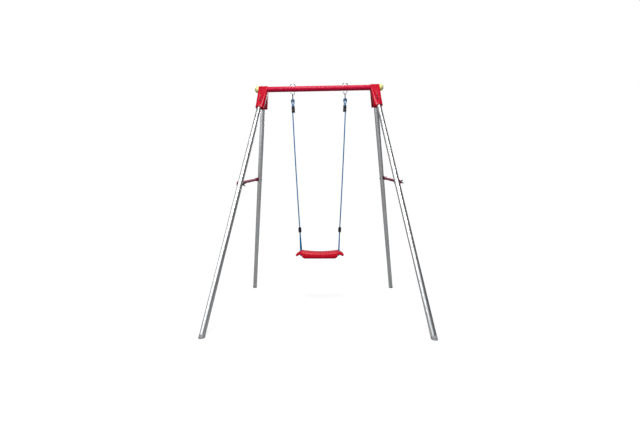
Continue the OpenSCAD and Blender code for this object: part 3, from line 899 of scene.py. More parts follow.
@dataclass
class Crossbar(Assembly):
    """Crossbar tube and its two domed caps."""

    cap_radius: float = 0.031
    cap_length: float = 0.040
    cap_rim: float = 0.014
    cap_edge: float = 0.0016
    plug_radius: float = 0.0217
    plug_length: float = 0.014

    def build(self) -> None:
        """Dress the tube and put a cap on each end."""
        self.keep("top_bar", CROSSBAR_PAINT)
        end = move(LAYOUT.bar_length / 2, 0, LAYOUT.bar_height) @ turn(90, "Y")
        caps = repeat(self.cap(), {f"cap_dome_{side.word}": LAYOUT.half(side) @ end for side in Side})
        for side, cap in zip(Side, caps):
            self.stand_for(cap, CAP_PLASTIC, Body.FRAME, f"bar_cap_{side.word}")

    def cap(self) -> Piece:
        """Turn one cap: plug, flange with a rounded edge, and dome.

        Returns:
            The cap, its flange on the origin's plane and its dome upwards.
        """
        plug, wide, edge = self.plug_radius, self.cap_radius, self.cap_edge
        rings = [
            (plug * 0.9, -self.plug_length), (plug, 2 * edge - self.plug_length), (plug, 0.0),
            (wide - edge, 0.0), (wide - 0.3 * edge, 0.3 * edge), (wide, edge), (wide, self.cap_rim - edge),
        ]
        rings += dome(wide, self.cap_rim - edge / 2, self.cap_length, 14)
        return turned(rings, segments=64, crease=50)


@dataclass
class CornerBrackets(Assembly):
    """Two moulded brackets that join the crossbar and the legs, with their bolts and screws."""

    edges: Rounding = Rounding(0.0016, 3, 30)
    seat_face: float = 0.0253
    bolt_at: float = 0.146
    screw_at: float = 0.112
    bar_screw_at: float = 0.0205
    bar_screw_sink: float = 0.001
    bolt_d: float = 0.008
    bolt_past_nut: float = 0.003
    thread_pitch: float = 0.00125
    thread_rings: int = 12
    screw_d: float = 0.006
    screw_length: float = 0.012
    flange_r: float = 0.0066
    flange_t: float = 0.0012
    into_head: float = 0.0005
    mouth_from: float = 0.158
    arm_half: float = 0.045
    longer: float = 0.038

    def build(self) -> None:
        """Round the brackets' edges, draw their front arms down and put their fasteners in."""
        for side in Side:
            bracket = self.finer(
                f"corner_bracket_{side.word}", f"bracket_{side.word}", self.edges, BRACKET_PLASTIC)
            self.lengthen(bracket, LAYOUT.leg(side, End.FRONT))
        top = LAYOUT.bracket_bar_d / 2 - self.bar_screw_sink
        self.copies(self.screw(), {
            f"bar_screw_{side.word}_{way.word}":
                LAYOUT.apex(side) @ move(way.value * self.bar_screw_at, 0, top)
            for side, way in PAIRS
        }, FASTENER_ZINC, "bar_screws")
        self.copies(self.screw(), self.on_legs("leg_screw", self.screw_at, 1), DARK_STEEL, "leg_screws")
        self.copies(self.bolt(), self.on_legs("leg_bolt", self.bolt_at, 1), DARK_STEEL, "leg_bolts")
        nut = hexagon(FLATS * self.bolt_d, NUT_HEIGHT * self.bolt_d, self.bolt_d)
        self.copies(nut, self.on_legs("leg_nut", self.bolt_at, -1), DARK_STEEL, "leg_nuts")

    def lengthen(self, bracket: Piece, leg: Matrix) -> None:
        """Draw an arm's mouth further down its leg, as the photograph shows the front arms.

        Args:
            bracket: Bracket to change.
            leg: Frame of the arm's leg, Z up along it.
        """
        inverse = leg.inverted()
        for vertex in bracket.data.vertices:
            place = inverse @ vertex.co
            if place.z < -self.mouth_from and abs(place.y) < self.arm_half:
                vertex.co = leg @ (place - Vector((0, 0, self.longer)))

    def on_legs(self, name: str, along: float, face: int) -> dict[str, Matrix]:
        """Named places down the legs' sockets, on the outer face for 1 or the inner for -1, Z out of it."""
        spot = move(0, face * self.seat_face, -along) @ turn(-90 * face, "X")
        return {f"{name}_{end.word}_{side.word}": LAYOUT.leg(side, end) @ spot for side, end in CORNERS}

    def screw(self) -> Piece:
        """Model a flanged hexagon-head tapping screw.

        Returns:
            The screw, its flange on the origin's plane.
        """
        wide, radius, length = self.flange_r, self.screw_d / 2, self.screw_length
        across = SCREW_CORNERS * self.screw_d * math.cos(math.radians(30))
        head = hexagon(across, SCREW_HEAD * self.screw_d)
        flange = turned([(wide - 0.0002, 0.0), (wide, 0.0005), (wide - 0.0006, self.flange_t)], segments=32)
        shank = turned([(0.4 * radius, -length), (0.93 * radius, -0.0085), (radius, -length / 2),
                        (radius, self.into_head)], segments=24)
        return joined([head, flange, shank], crease=30)

    def bolt(self) -> Piece:
        """Model a hexagon bolt with thread ridges where it shows past its nut.

        Returns:
            The bolt, its head on the origin's plane.
        """
        radius, pitch = self.bolt_d / 2, self.thread_pitch
        tip = -2 * self.seat_face - NUT_HEIGHT * self.bolt_d - self.bolt_past_nut
        start = tip + pitch / 2
        rings = [(radius * BOLT_TIP, tip), (radius, start), *thread(radius, start, pitch, self.thread_rings),
                 (radius, self.into_head)]
        head = hexagon(FLATS * self.bolt_d, HEAD_HEIGHT * self.bolt_d)
        return joined([head, turned(rings, segments=24)], crease=30)


@dataclass
class Legs(Assembly):
    """Four zinc-coated legs and their feet."""

    foot_lip: float = 0.0008
    sleeve_gap: float = 0.0003
    below_end: float = 0.050
    plug_length: float = 0.032
    sole_edge: Rounding = Rounding(0.0022, 3, 50)

    def build(self) -> None:
        """Dress the tubes and put the feet in."""
        spots = {}
        for side, end in CORNERS:
            self.keep(f"leg_{end.word}_{side.word}", LEG_ZINC)
            spots[f"foot_plug_{end.word}_{side.word}"] = LAYOUT.leg(side, end)
        for foot in repeat(self.foot(), spots):
            self.stand_for(foot, FOOT_PLASTIC, Body.FRAME, foot.name.replace("_plug", ""))

    def foot(self) -> Piece:
        """Turn a foot's plug and rim on the right rear leg's axis, then cut its sole flat as on the ground.

        Returns:
            The foot in its leg's frame.
        """
        wide = LAYOUT.leg_d / 2 + self.foot_lip
        plug = LAYOUT.leg_d / 2 - LAYOUT.leg_wall - self.sleeve_gap
        rings = [
            (wide, -self.below_end), (wide, -0.0012), (wide - 0.0004, -0.0004), (wide - 0.0012, 0.0),
            (plug, 0.0), (plug, self.plug_length - 0.004), (plug * 0.93, self.plug_length),
        ]
        foot = put(turned(rings, segments=64), move(0, 0, -LAYOUT.leg_end))
        into = LAYOUT.leg(Side.RIGHT, End.REAR).inverted()
        with editing(foot):
            bpy.ops.mesh.bisect(plane_co=into @ Vector(), plane_no=into.to_3x3() @ Vector((0, 0, 1)),
                                use_fill=True, clear_inner=True)
            face_out()
        round_edges(foot, self.sole_edge)
        smooth(foot, angle=40)
        return foot


@dataclass
class Braces(Assembly):
    """Two side braces with their bolts, washers and wing nuts."""

    edges: Rounding = Rounding(0.0006, 2, 35)
    ear_inside: float = 0.0213
    ear_t: float = 0.003
    leg_seat: float = 0.02105
    bolt_d: float = 0.008
    bolt_past_nut: float = 0.001
    head_t: float = 0.004
    washer_t: float = 0.0016
    hub_d: float = 0.017
    hub_h: float = 0.011
    wing_span: float = 0.036
    wing_h: float = 0.023
    wing_t: float = 0.004
    wing_w: float = 0.0085
    wing_gap: float = 0.0005
    wing_foot: float = 0.0046
    wing_tip_in: float = 0.0055
    wing_flare: Pair = (-0.0008, 0.0018)
    wing_round: float = 0.0048
    wing_steps: int = 6
    wing_edges: Rounding = Rounding(0.0009, 2, 40)
    wing_turn: float = 60.0
    thread_pitch: float = 0.00125
    thread_rings: int = 8

    @property
    def grip(self) -> float:
        """Length between a bolt's head and its washer: the leg and the brace's flat end."""
        return self.leg_seat + self.ear_inside + self.ear_t

    def build(self) -> None:
        """Round the braces' edges and put their fasteners in."""
        for side in Side:
            self.finer(f"brace_{side.word}", f"side_brace_{side.word}", self.edges, BRACE_PAINT)
        on_washer = self.grip + self.washer_t
        self.copies(self.bolt(), self.at_bolts("brace_bolt", 0.0), FASTENER_ZINC, "brace_bolts")
        self.copies(self.washer(), self.at_bolts("brace_washer", self.grip), FASTENER_ZINC, "brace_washers")
        self.copies(self.wing_nut(), self.at_bolts("wing_nut", on_washer, self.wing_turn),
                    BLACK_NYLON, "brace_wing_nuts")

    def at_bolts(self, name: str, height: float, angle: float = 0.0) -> dict[str, Matrix]:
        """Places at the four bolts, Z from the head to the nut. Only the front left nut is on the inside.

        Args:
            name: Start of each copy's name.
            height: Distance from the bolt's head.
            angle: Turn about the bolt in degrees.

        Returns:
            Name and place for each bolt.
        """
        spots = {}
        spot = move(0, 0, height) @ turn(angle, "Z")
        for side, end in CORNERS:
            inwards = side is Side.LEFT and end is End.FRONT
            start = self.ear_inside + self.ear_t if inwards else -self.leg_seat
            along = 0.0 if end is End.FRONT else LAYOUT.brace_run.length
            head = move(along, 0, start) @ Matrix.Scale(-1 if inwards else 1, 4, (0, 0, 1))
            spots[f"{name}_{end.word}_{side.word}"] = LAYOUT.brace(side) @ head @ spot
        return spots

    def bolt(self) -> Piece:
        """Turn a cup-head bolt along Z, threaded at its end.

        Returns:
            The bolt, its head below the origin's plane.
        """
        radius, head_r, pitch = self.bolt_d / 2, CUP_RADIUS * self.bolt_d, self.thread_pitch
        end = self.grip + self.washer_t + self.hub_h + self.bolt_past_nut
        start = end - (self.thread_rings / 2 + 1) * pitch
        rings = [(wide, -high) for wide, high in reversed(dome(head_r, 0.0, self.head_t, 7))]
        rings += [(head_r, 0.0), (radius, 0.0), (radius, start)]
        rings += [*thread(radius, start, pitch, self.thread_rings), (radius * BOLT_TIP, end)]
        return turned(rings, segments=32, crease=30)

    def washer(self) -> Piece:
        """Turn a flat washer with softened edges.

        Returns:
            The washer, its lower face on the origin's plane.
        """
        outer, inner, thick = WASHER_RADIUS * self.bolt_d, self.bolt_d / 2 + 0.0001, self.washer_t
        rings = [(inner, 0.0), (outer - 0.0003, 0.0), (outer, 0.0003), (outer, thick - 0.0004),
                 (outer - 0.0004, thick), (inner, thick)]
        return turned(rings, segments=40, crease=40)

    def wing_nut(self) -> Piece:
        """Model a moulded wing nut: a tapered hub and two rounded wings.

        Returns:
            The wing nut, standing on the origin's plane.
        """
        wide, top = self.hub_d / 2, self.hub_h
        rings = [(wide - 0.0008, 0.0), (wide, 0.001), (wide - 0.0006, 0.004), (wide - 0.002, top - 0.001),
                 (wide - 0.003, top), (self.bolt_d / 2 + 0.0002, top)]
        wings = repeat(self.wing(), {"wing_a": Matrix.Identity(4), "wing_b": turn(180, "Z")})
        return joined([turned(rings, segments=40), *wings], crease=40)

    def wing(self) -> Piece:
        """Model one wing from a block: leaned outwards, its tip rounded.

        Returns:
            The wing on the hub's positive side.
        """
        foot, tip, middle = self.wing_foot, self.wing_span / 2 - self.wing_tip_in, self.wing_h / 2
        wing = block((self.wing_w, self.wing_t, self.wing_h - 2 * self.wing_gap), (foot, 0, middle))
        for vertex in wing.data.vertices:
            if vertex.co.z > middle:
                vertex.co.x += tip - foot
                vertex.co.x += self.wing_flare[vertex.co.x > tip]
        with editing(wing, "EDGE", "DESELECT"):
            pass
        for edge in wing.data.edges:
            a, b = (wing.data.vertices[i].co for i in edge.vertices)
            edge.select = min(a.z, b.z) > middle and abs(a.y - b.y) > self.wing_t / 2
        with editing(wing, "EDGE", None):
            bpy.ops.mesh.bevel(offset=self.wing_round, segments=self.wing_steps, affect="EDGES")
        round_edges(wing, self.wing_edges)
        return wing


@dataclass
class Hangers(Assembly):
    """Two U-shaped hanger bolts with their saddles, nuts and nut caps."""

    saddle_edges: Rounding = Rounding(0.0005, 2, 35)
    bolt_d: float = 0.008
    cap_d: float = 0.0186
    cap_h: float = 0.0139
    cap_bore_r: float = 0.0078
    crown_in: float = 0.0036
    crown_h: float = 0.0040

    def build(self) -> None:
        """Dress the bolts, round the saddles and put the nuts and caps on."""
        for side in Side:
            self.keep(f"hanger_bolt_{side.word}", FASTENER_ZINC)
            self.finer(f"hanger_saddle_{side.word}", f"saddle_{side.word}", self.saddle_edges, FASTENER_ZINC)
        nut = hexagon(FLATS * self.bolt_d, NUT_HEIGHT * self.bolt_d, self.bolt_d)
        self.copies(nut, self.at_nuts("hanger_nut"), FASTENER_ZINC, "hanger_nuts")
        self.copies(self.nut_cap(), self.at_nuts("nut_cap"), BLACK_NYLON, "hanger_nut_caps")

    def at_nuts(self, name: str) -> dict[str, Matrix]:
        """Find the places of the four nuts on their saddles.

        Args:
            name: Start of each copy's name.

        Returns:
            Name and place for each nut.
        """
        top = LAYOUT.bar_height + LAYOUT.bar_d / 2 + LAYOUT.saddle_t
        at = {way: (LAYOUT.hanger_span + way.value * LAYOUT.hanger_pitch) / 2 for way in Way}
        return {f"{name}_{side.word}_{way.word}": LAYOUT.half(side) @ move(at[way], 0, top)
                for side, way in PAIRS}

    def nut_cap(self) -> Piece:
        """Turn a hollow cap over a nut: skirt with a foot bead, rounded crown.

        Returns:
            The cap, standing on the origin's plane.
        """
        outer, inner, high = self.cap_d / 2, self.cap_bore_r, self.cap_h
        skirt = outer - 0.0006
        rings = [
            (inner * 0.05, high - 0.0030), (inner, high - 0.0034), (inner, 0.0), (outer - 0.0003, 0.0),
            (outer, 0.0003), (outer, 0.0014), (outer - 0.0005, 0.0018), (skirt, high - 0.0042),
        ]
        rings += [(skirt - self.crown_in * (1 - c), high - self.crown_h * (1 - s)) for c, s in arc(90, 6, 1)]
        return turned([*rings, (0.0005, high)], segments=40, crease=40)


@dataclass
class SnapHooks(Assembly):
    """Two snap hooks with their gates, and the rings that hang in them."""

    hook_edges: Rounding = Rounding(0.0, 2, 38)
    gate_edges: Rounding = Rounding(0.00025, 2, 38)

    def build(self) -> None:
        """Shade the hooks' rods smooth, round the gates and dress the rings."""
        self.keep("hook_rivets", FASTENER_ZINC)
        for side in Side:
            self.finer(f"hook_{side.word}", f"snap_hook_{side.word}", self.hook_edges, HOOK_STEEL, Body.SWING)
            self.finer(f"hook_gate_{side.word}", f"snap_gate_{side.word}", self.gate_edges, HOOK_STEEL,
                       Body[f"GATE_{side.name}"])
            self.keep(f"rope_ring_{side.word}", RING_NYLON)


@dataclass
class RopeRig(Assembly):
    """Two braided ropes with their adjusters and clips."""

    rope_d: float = 0.010
    strands: int = 8
    strand_w: float = 0.0058
    strand_t: float = 0.0030
    section: tuple[Pair, ...] = (
        (-1.0, -0.15), (-0.55, 0.8), (0.0, 1.0), (0.55, 0.8), (1.0, -0.15), (0.0, -0.8))
    lift: float = 0.0004
    crown: float = 0.0004
    pitch: float = 0.030
    step: float = 0.0013
    longest: float = 0.028
    last_step: float = 0.2
    corner_cuts: int = 3
    cut_at: Pair = (0.25, 0.75)
    loop_r: float = 0.0134
    eye: tuple[Pair, ...] = ((0.0118, -0.008), (0.0092, -0.017), (0.0068, -0.027), (0.0058, -0.037))
    adjuster_top: float = -0.048
    adjuster_length: float = 0.060
    adjuster_bore: float = 0.0065
    clip_rise: float = 0.212
    clip_length: float = 0.052
    clip_bore: float = 0.008
    turned_below: float = 0.020
    seat_hole: float = 0.055
    seat_drop: float = 0.044
    bend: float = 0.009
    block_edges: Rounding = Rounding(0.0014, 3, 30)

    @property
    def adjuster_end(self) -> float:
        """Lower end of the adjuster along the rope's line."""
        return self.adjuster_top - self.adjuster_length

    @property
    def clip_top(self) -> float:
        """Upper end of the clip along the rope's line."""
        return LAYOUT.seat_at + self.clip_rise

    def build(self) -> None:
        """Braid the ropes and round the edges of what holds them."""
        for side in Side:
            self.rope(side)
            for node in ("adjuster", "rope_clip"):
                self.finer(f"{node}_{side.word}", f"{node}_block_{side.word}", self.block_edges, BLACK_NYLON,
                           Body.SWING)

    def route(self) -> list[Pair]:
        """Corners of a rope's route: adjuster, round the ring, down, under the seat and into the clip.

        Returns:
            Place across the rope's line and along it.
        """
        seat, hole, bore, clip = LAYOUT.seat_at, self.seat_hole, self.adjuster_bore, self.clip_bore
        clip_end = self.clip_top - self.clip_length
        low = seat - self.seat_drop
        loop = [(self.loop_r * c, self.loop_r * s) for c, s in arc(180, 9)]
        corner = [(hole - self.bend * (1 - c), low + self.bend * (1 - s)) for c, s in arc(90, 3)]
        leg = [(clip, clip_end - 0.004), (clip + 0.0015, clip_end - 0.013), (hole - 0.0015, seat + 0.013),
               (hole, seat + 0.004), *corner]
        return [
            (bore, self.adjuster_end + 0.008), (bore, self.adjuster_top - 0.004), *reversed(self.eye), *loop,
            *((-across, along) for across, along in self.eye), (-bore, self.adjuster_top - 0.004),
            (-bore, self.adjuster_end - 0.004), (-clip, self.clip_top + 0.005),
            *((-across, along) for across, along in leg), *reversed(leg), (clip, clip_end + 0.022),
        ]

    def quarter_turn(self, along: float) -> Matrix:
        """Turn of the rope's runs about its line, from none at the clip to a quarter below the adjuster."""
        share = (along - self.clip_top) / (self.adjuster_end - self.turned_below - self.clip_top)
        return Matrix.Rotation(math.pi / 2 * min(1.0, max(0.0, share)), 3, "Z")

    def line(self) -> list[Vector]:
        """Smooth, evenly spaced centreline of a rope.

        Returns:
            Points along it in the rope's frame.
        """
        points = [Vector((0, across, along)) for across, along in self.route()]
        curve: list[Vector] = []
        for start, stop in zip(points, points[1:]):
            count = max(1, math.ceil((stop - start).length / self.longest))
            curve += [start.lerp(stop, k / count) for k in range(count)]
        curve.append(points[-1])
        for _ in range(self.corner_cuts):
            cut = [start.lerp(stop, share) for start, stop in zip(curve, curve[1:]) for share in self.cut_at]
            curve = [curve[0], *cut, curve[-1]]
        return self.spaced([self.quarter_turn(p.z) @ p for p in curve])

    def spaced(self, points: Sequence[Vector]) -> list[Vector]:
        """Walk a line in even steps.

        Args:
            points: Corners of the line.

        Returns:
            Points a step apart, with the line's own end.
        """
        walked, left = [points[0].copy()], self.step
        for start, stop in zip(points, points[1:]):
            run = (stop - start).length
            while left <= run:
                walked.append(start.lerp(stop, left / run))
                left += self.step
            left -= run
        if (walked[-1] - points[-1]).length > self.step * self.last_step:
            walked.append(points[-1].copy())
        return walked

    def strand(self, number: int, centre: Sequence[Vector], normals: Sequence[Vector]) -> list[Vector]:
        """Wind one strand about a rope, over and under those that go the other way.

        Args:
            number: Which strand; the first half winds one way and the rest the other.
            centre: Points along the rope.
            normals: A way out of the rope at each point.

        Returns:
            Corners of the strand's section at each point.
        """
        half = self.strands // 2
        hand = 1 if number < half else -1
        middle = self.rope_d / 2 + self.crown - self.strand_t / 2 - self.lift
        rate = 2 * math.pi / self.pitch
        lean = math.atan(rate * middle)
        corners: list[Vector] = []
        for i, point in enumerate(centre):
            axis = (centre[min(i + 1, len(centre) - 1)] - centre[max(i - 1, 0)]).normalized()
            binormal = axis.cross(normals[i]).normalized()
            normal = binormal.cross(axis)
            along = i * self.step
            angle = hand * rate * along + number * 2 * math.pi / half
            out = normal * math.cos(angle) + binormal * math.sin(angle)
            round_way = binormal * math.cos(angle) - normal * math.sin(angle)
            across = round_way * math.cos(lean) - axis * (hand * math.sin(lean))
            base = point + out * (middle + hand * self.lift * math.cos(half * rate * along))
            corners += [base + across * (wide * self.strand_w / 2) + out * (high * self.strand_t / 2)
                        for wide, high in self.section]
        return corners

    def skin(self, first: int, points: int) -> tuple[list[tuple[int, ...]], list[Pair]]:
        """Close one strand as a tube.

        Args:
            first: Number of its first corner.
            points: How many sections it has.

        Returns:
            Its faces, and the place of each of their corners round the strand and along it.
        """
        count = len(self.section)
        last = first + (points - 1) * count
        square = ((0, 0), (0, 1), (1, 1), (1, 0))
        quads = [(i, k) for i in range(points - 1) for k in range(count)]
        faces = [tuple(first + (i + di) * count + (k + dk) % count for di, dk in square) for i, k in quads]
        faces += [tuple(first + k for k in reversed(range(count))), tuple(last + k for k in range(count))]
        uvs = [((k + dk) / count, (i + di) * self.step) for i, k in quads for di, dk in square]
        return faces, uvs + [(0.0, 0.0)] * (2 * count)

    def rope(self, side: Side) -> None:
        """Braid one rope along its route.

        Args:
            side: Which of the two ropes.
        """
        frame, local = LAYOUT.rope(side), self.line()
        centre = [frame @ p for p in local]
        normals = [frame.to_3x3() @ self.quarter_turn(p.z) @ Vector((1, 0, 0)) for p in local]
        corners: list[Vector] = []
        faces: list[tuple[int, ...]] = []
        uvs: list[Pair] = []
        for number in range(self.strands):
            tube, places = self.skin(len(corners), len(centre))
            corners += self.strand(number, centre, normals)
            faces += tube
            uvs += places
        mesh = bpy.data.meshes.new(f"braided_rope_{side.word}")
        mesh.from_pydata([tuple(v) for v in corners], [], faces)
        for item, uv in zip(mesh.uv_layers.new(name="strand").data, uvs):
            item.uv = uv
        rope = added(mesh.name, mesh)
        with editing(rope):
            face_out()
        bpy.ops.object.shade_smooth()
        self.stand_for(rope, ROPE_FIBRE, Body.SWING, f"rope_{side.word}")


@dataclass
class Seat(Assembly):
    """Moulded seat: a sagging body with a rounded rim, drooping ears, rope holes and a ribbed underside."""

    width: float = 0.430
    depth: float = 0.164
    thickness: float = 0.069
    sag: float = 0.014
    crest: float = 0.036
    flat_x: float = 0.130
    notch_x: float = 0.163
    ear_x: float = 0.180
    ear_drop: float = 0.030
    ear_tip_x: float = 0.206
    ear_tip_rise: float = 0.010
    ear_share: float = 0.75
    ear_inset: float = 0.014
    rim_share: float = 0.4
    rim_steps: int = 8
    tip_round: float = 0.003
    wall: float = 0.007
    hole_d: float = 0.011
    hole_y: float = 0.055
    hole_flare: float = 0.0016
    columns: int = 5
    rows: int = 2
    pocket_w: float = 0.044
    pocket_edges: Rounding = Rounding(0.004, 3, 30)
    rib: float = 0.004
    end_wall: float = 0.0296
    edges: Rounding = Rounding(0.0008, 2, 50)

    def build(self) -> None:
        """Loft the body, then cut the hollows and the rope holes."""
        seat = self.body()
        tools = [self.hollow(column, row) for column in range(self.columns) for row in range(self.rows)]
        tools += [put(self.hole(), LAYOUT.rope(side) @ move(0, end.value * self.hole_y, LAYOUT.seat_at))
                  for side, end in CORNERS]
        cutters = joined(tools)
        modify(seat, "BOOLEAN", operation="DIFFERENCE", solver="EXACT", object=cutters)
        bpy.data.objects.remove(cutters)
        round_edges(seat, self.edges)
        smooth(seat, angle=40)
        self.stand_for(seat, SEAT_PLASTIC, Body.SWING, "seat")

    def top(self, x: float) -> float:
        """Find the height of the seat's top, which sags between the ropes and droops past them.

        Args:
            x: Distance from the seat's middle.

        Returns:
            Its height.
        """
        past = x - LAYOUT.seat_rope_x
        if past <= 0:
            return LAYOUT.seat_z - self.sag * (1 - (x / LAYOUT.seat_rope_x) ** 2)
        return LAYOUT.seat_z - self.ear_drop * past / (self.width / 2 - LAYOUT.seat_rope_x)

    def station(self, x: float, low: float, draw: float = 0.0) -> tuple[float, float, float, float]:
        """Distance from the middle, half depth, underside and top of one section, drawn in all round."""
        side = self.depth / 2 - self.ear_inset * (2 * x / self.width) ** 4
        return x, side - draw, low + draw, self.top(x) - draw

    def stations(self) -> list[tuple[float, float, float, float]]:
        """Sections of the right half: flat body, round corner, part round the rope, ear and tip.

        Returns:
            Distance from the middle, half depth, underside and top of each section.
        """
        bottom, notch, tip = LAYOUT.seat_z - self.thickness, LAYOUT.seat_z - self.crest, self.width / 2
        ear = self.top(self.ear_tip_x) - self.ear_share * self.crest
        lows = [(self.flat_x * k / 10, bottom) for k in range(11)]
        lows += [(self.flat_x + (self.notch_x - self.flat_x) * s, bottom + (notch - bottom) * (1 - c))
                 for c, s in arc(90, 8, 1)]
        lows += [(LAYOUT.seat_rope_x, notch), (self.ear_x, notch),
                 ((self.ear_x + self.ear_tip_x) / 2, (notch + ear) / 2), (self.ear_tip_x, ear)]
        sections = [self.station(x, low) for x, low in lows]
        for c, s in arc(90, 4):
            x = tip - self.tip_round * (1 - s)
            low = ear + self.ear_tip_rise * (x - self.ear_tip_x) / (tip - self.ear_tip_x)
            sections.append(self.station(x, low, self.tip_round * (1 - c)))
        return sections

    def body(self) -> Piece:
        """Round a section's corners, extrude it through the stations and mirror the half.

        Returns:
            The closed body.
        """
        sections = self.stations()
        _, side, low, top = sections[0]
        bpy.ops.mesh.primitive_plane_add(size=1.0)
        body = bpy.context.object
        body.name = body.data.name = "swing_seat"
        with editing(body):
            bpy.ops.transform.resize(value=(2 * side, top - low, 1))
            bpy.ops.transform.translate(value=(0, (top + low) / 2, 0))
            rim = self.rim_share * (top - low)
            bpy.ops.mesh.bevel(offset=rim, segments=self.rim_steps, affect="VERTICES")
            bpy.ops.mesh.select_all(action="SELECT")
            for (x0, side0, low0, top0), (x1, side1, low1, top1) in zip(sections, sections[1:]):
                rise = (top1 + low1 - top0 - low0) / 2
                bpy.ops.mesh.extrude_region_move(TRANSFORM_OT_translate={"value": (0, rise, x1 - x0)})
                bpy.ops.transform.resize(value=(side1 / side0, (top1 - low1) / (top0 - low0), 1),
                                         center_override=(0, (top1 + low1) / 2, x1))
        for face in body.data.polygons:
            face.select = abs(face.center.z) < TOUCHING
        with editing(body, action=None):
            bpy.ops.mesh.delete(type="ONLY_FACE")
        put(body, Matrix(((0, 0, 1, 0), (1, 0, 0, 0), (0, 1, 0, 0), (0, 0, 0, 1))))
        modify(body, "MIRROR", merge_threshold=TOUCHING)
        with editing(body):
            face_out()
        return body

    def hollow(self, column: int, row: int) -> Piece:
        """Model the cutter of one hollow of the underside, with rounded edges.

        Args:
            column: Place along the seat.
            row: Place across it.

        Returns:
            The cutter in place.
        """
        deep = (self.depth - 2 * self.end_wall - (self.rows - 1) * self.rib) / self.rows
        x = (column - (self.columns - 1) / 2) * (self.pocket_w + self.rib)
        y = (row - (self.rows - 1) / 2) * (deep + self.rib)
        ceiling = self.top(max(abs(x) - self.pocket_w / 2, 0.0)) - self.wall
        floor = LAYOUT.seat_z - self.thickness - 2 * self.pocket_edges.width
        tool = block((self.pocket_w, deep, ceiling - floor), (x, y, (ceiling + floor) / 2))
        round_edges(tool, self.pocket_edges)
        return tool

    def hole(self) -> Piece:
        """Turn the cutter of one rope hole, flared where it leaves the seat's top.

        Returns:
            The cutter on the rope's axis, with the seat's top on the origin's plane.
        """
        radius, flare = self.hole_d / 2, self.hole_flare
        rings = [(radius, -2 * self.crest), (radius, -2 * flare)]
        rings += [(radius + flare * (1 - c), -2 * flare * (1 - s)) for c, s in arc(90, 4, 1)]
        return turned([*rings, (radius + flare, self.hole_d)], segments=40)


@dataclass(frozen=True)
class SoftBox:
    """An area lamp: its place, size and power, and whether it lights and whether it shows in shiny pieces."""

    name: str
    place: tuple[float, float, float]
    size: Pair
    power: float
    lights: bool = True
    mirrors: bool = True

    def hang(self, target: Vector) -> None:
        """Hang the lamp, out of the camera's sight, and aim it.

        Args:
            target: Point that it is turned to.
        """
        data = bpy.data.lights.new(f"soft_box_{self.name}", "AREA")
        data.shape = "RECTANGLE"
        data.size, data.size_y = self.size
        data.energy = self.power
        lamp = added(data.name, data)
        lamp.rotation_euler = (target - Vector(self.place)).to_track_quat("-Z", "Y").to_euler()
        lamp.location = self.place
        lamp.visible_camera = False
        lamp.visible_diffuse = self.lights
        lamp.visible_glossy = self.mirrors


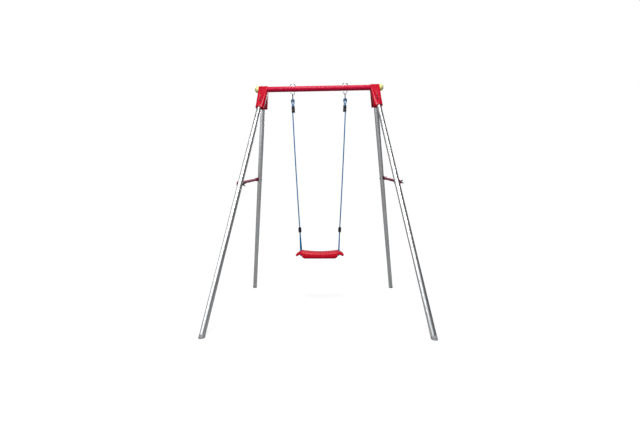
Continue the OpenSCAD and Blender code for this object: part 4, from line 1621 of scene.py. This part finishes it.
@dataclass
class Studio:
    """Camera, floor and light."""

    focal_px: float = 312.45
    frame_px: float = 640.0
    sensor_mm: float = 36.0
    eye: tuple[float, float, float] = (0.0978, -2.8485, 0.8181)
    yaw: float = -1.90
    pitch: float = -0.709
    roll: float = -0.375
    floor_size: float = 60.0
    floor_grey: str = "#828282"
    floor_roughness: float = 0.9
    floor_share: float = 0.85
    floor_fade: Pair = (1.5, 3.5)
    backdrop_fade: Pair = (0.55, 0.90)
    room_level: float = 0.12
    mirrored: float = 0.2
    aim: tuple[float, float, float] = (0.0, 0.0, 1.2)
    boxes: tuple[SoftBox, ...] = (
        SoftBox("key", (-0.2, -3.6, 4.8), (1.4, 1.4), 215.0),
        SoftBox("fill", (0.3, -3.8, 0.7), (1.6, 1.0), 26.0, mirrors=False),
        SoftBox("top", (0.2, 0.3, 5.2), (2.4, 2.4), 50.0),
        SoftBox("back", (1.4, 3.8, 3.6), (2.2, 2.2), 60.0),
        SoftBox("front_card", (-1.7, -3.5, 2.6), (5.2, 4.6), 70.0, lights=False),
        SoftBox("left_card", (-3.8, -1.4, 2.5), (3.4, 3.4), 34.0, lights=False),
        SoftBox("strip", (-2.1, -2.7, 2.3), (0.35, 2.8), 26.0, lights=False),
    )

    def build(self) -> None:
        """Set the camera, the floor, the lamps and the world."""
        self.camera()
        self.floor()
        for box in self.boxes:
            box.hang(Vector(self.aim))
        self.world()
        bpy.context.scene.view_settings.view_transform = "Standard"

    def camera(self) -> None:
        """Place the camera at the photograph's view."""
        data = bpy.data.cameras.new("studio_camera")
        data.sensor_fit = "HORIZONTAL"
        data.sensor_width = self.sensor_mm
        data.lens = self.sensor_mm * self.focal_px / self.frame_px
        camera = added(data.name, data)
        base = Matrix(((1, 0, 0), (0, 0, -1), (0, 1, 0))).to_4x4()
        right, down, forward, _ = turn(self.roll, "Z") @ turn(self.pitch, "X") @ base @ turn(self.yaw, "Z")
        axes = Matrix((right[:3], -down.xyz, -forward.xyz)).transposed()
        camera.matrix_world = move(*self.eye) @ axes.to_4x4()
        bpy.context.scene.camera = camera

    def floor(self) -> None:
        """Lay a wide pale floor that keeps the object's shadow and runs into the white background."""
        bpy.ops.mesh.primitive_plane_add(size=self.floor_size)
        floor = bpy.context.object
        floor.name = floor.data.name = "studio_floor"
        paper = bpy.data.materials.new("white_paper")
        paper.use_nodes = True
        tree = paper.node_tree
        shader = tree.nodes["Principled BSDF"]
        feed(tree, shader, {"Base Color": linear(self.floor_grey), "Roughness": self.floor_roughness,
                            "Specular IOR Level": 0.0})
        away = add_node(tree, "VectorMath", {0: own_place(tree)}, operation="LENGTH").outputs["Value"]
        share = ranged(tree, away, self.floor_fade, (self.floor_share, 1.0), interpolation_type="SMOOTHSTEP")
        level = calc(tree, "MULTIPLY", share, self.seen(tree))
        white = add_node(tree, "Emission", {"Color": WHITE, "Strength": level})
        both = add_node(tree, "AddShader", {0: shader.outputs["BSDF"], 1: white.outputs["Emission"]})
        feed(tree, tree.nodes["Material Output"], {"Surface": both.outputs["Shader"]})
        floor.data.materials.append(paper)

    def seen(self, tree: Tree) -> Socket:
        """Mark the rays that show a surface itself: straight from the camera, or dimmer off metal.

        Args:
            tree: Node tree to add to.

        Returns:
            One for camera rays, the mirrored share for glossy and transmitted ones and zero for the rest.
        """
        path = add_node(tree, "LightPath").outputs
        second = calc(tree, "MAXIMUM", path["Is Glossy Ray"], path["Is Transmission Ray"])
        return calc(tree, "MAXIMUM", path["Is Camera Ray"], calc(tree, "MULTIPLY", second, self.mirrored))

    def world(self) -> None:
        """Surround the set with a dim room and a white backdrop behind the object."""
        world = bpy.data.worlds.new("studio_room")
        bpy.context.scene.world = world
        world.use_nodes = True
        tree = world.node_tree
        axes = add_node(tree, "SeparateXYZ", {"Vector": add_node(tree, "TexCoord").outputs["Generated"]})
        behind = ranged(tree, axes.outputs["Y"], self.backdrop_fade, UNIT, interpolation_type="SMOOTHSTEP")
        shown = calc(tree, "MULTIPLY", behind, self.seen(tree))
        white = calc(tree, "MAXIMUM", shown, add_node(tree, "LightPath").outputs["Is Camera Ray"])
        level = ranged(tree, white, UNIT, (self.room_level, 1.0))
        feed(tree, tree.nodes["Background"], {"Color": WHITE, "Strength": level})


def main() -> None:
    """Load the frame, set the studio and build the groups in order."""
    logging.basicConfig(level=logging.INFO, format="%(name)s: %(message)s")
    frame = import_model()
    Studio().build()
    for kind in (RopeRig, Seat, SnapHooks, Hangers, Crossbar, CornerBrackets, Legs, Braces):
        group = kind(frame["nodes"])
        group.build()
        group.report()
    bpy.ops.object.select_all(action="DESELECT")


if __name__ == "__main__":
    main()
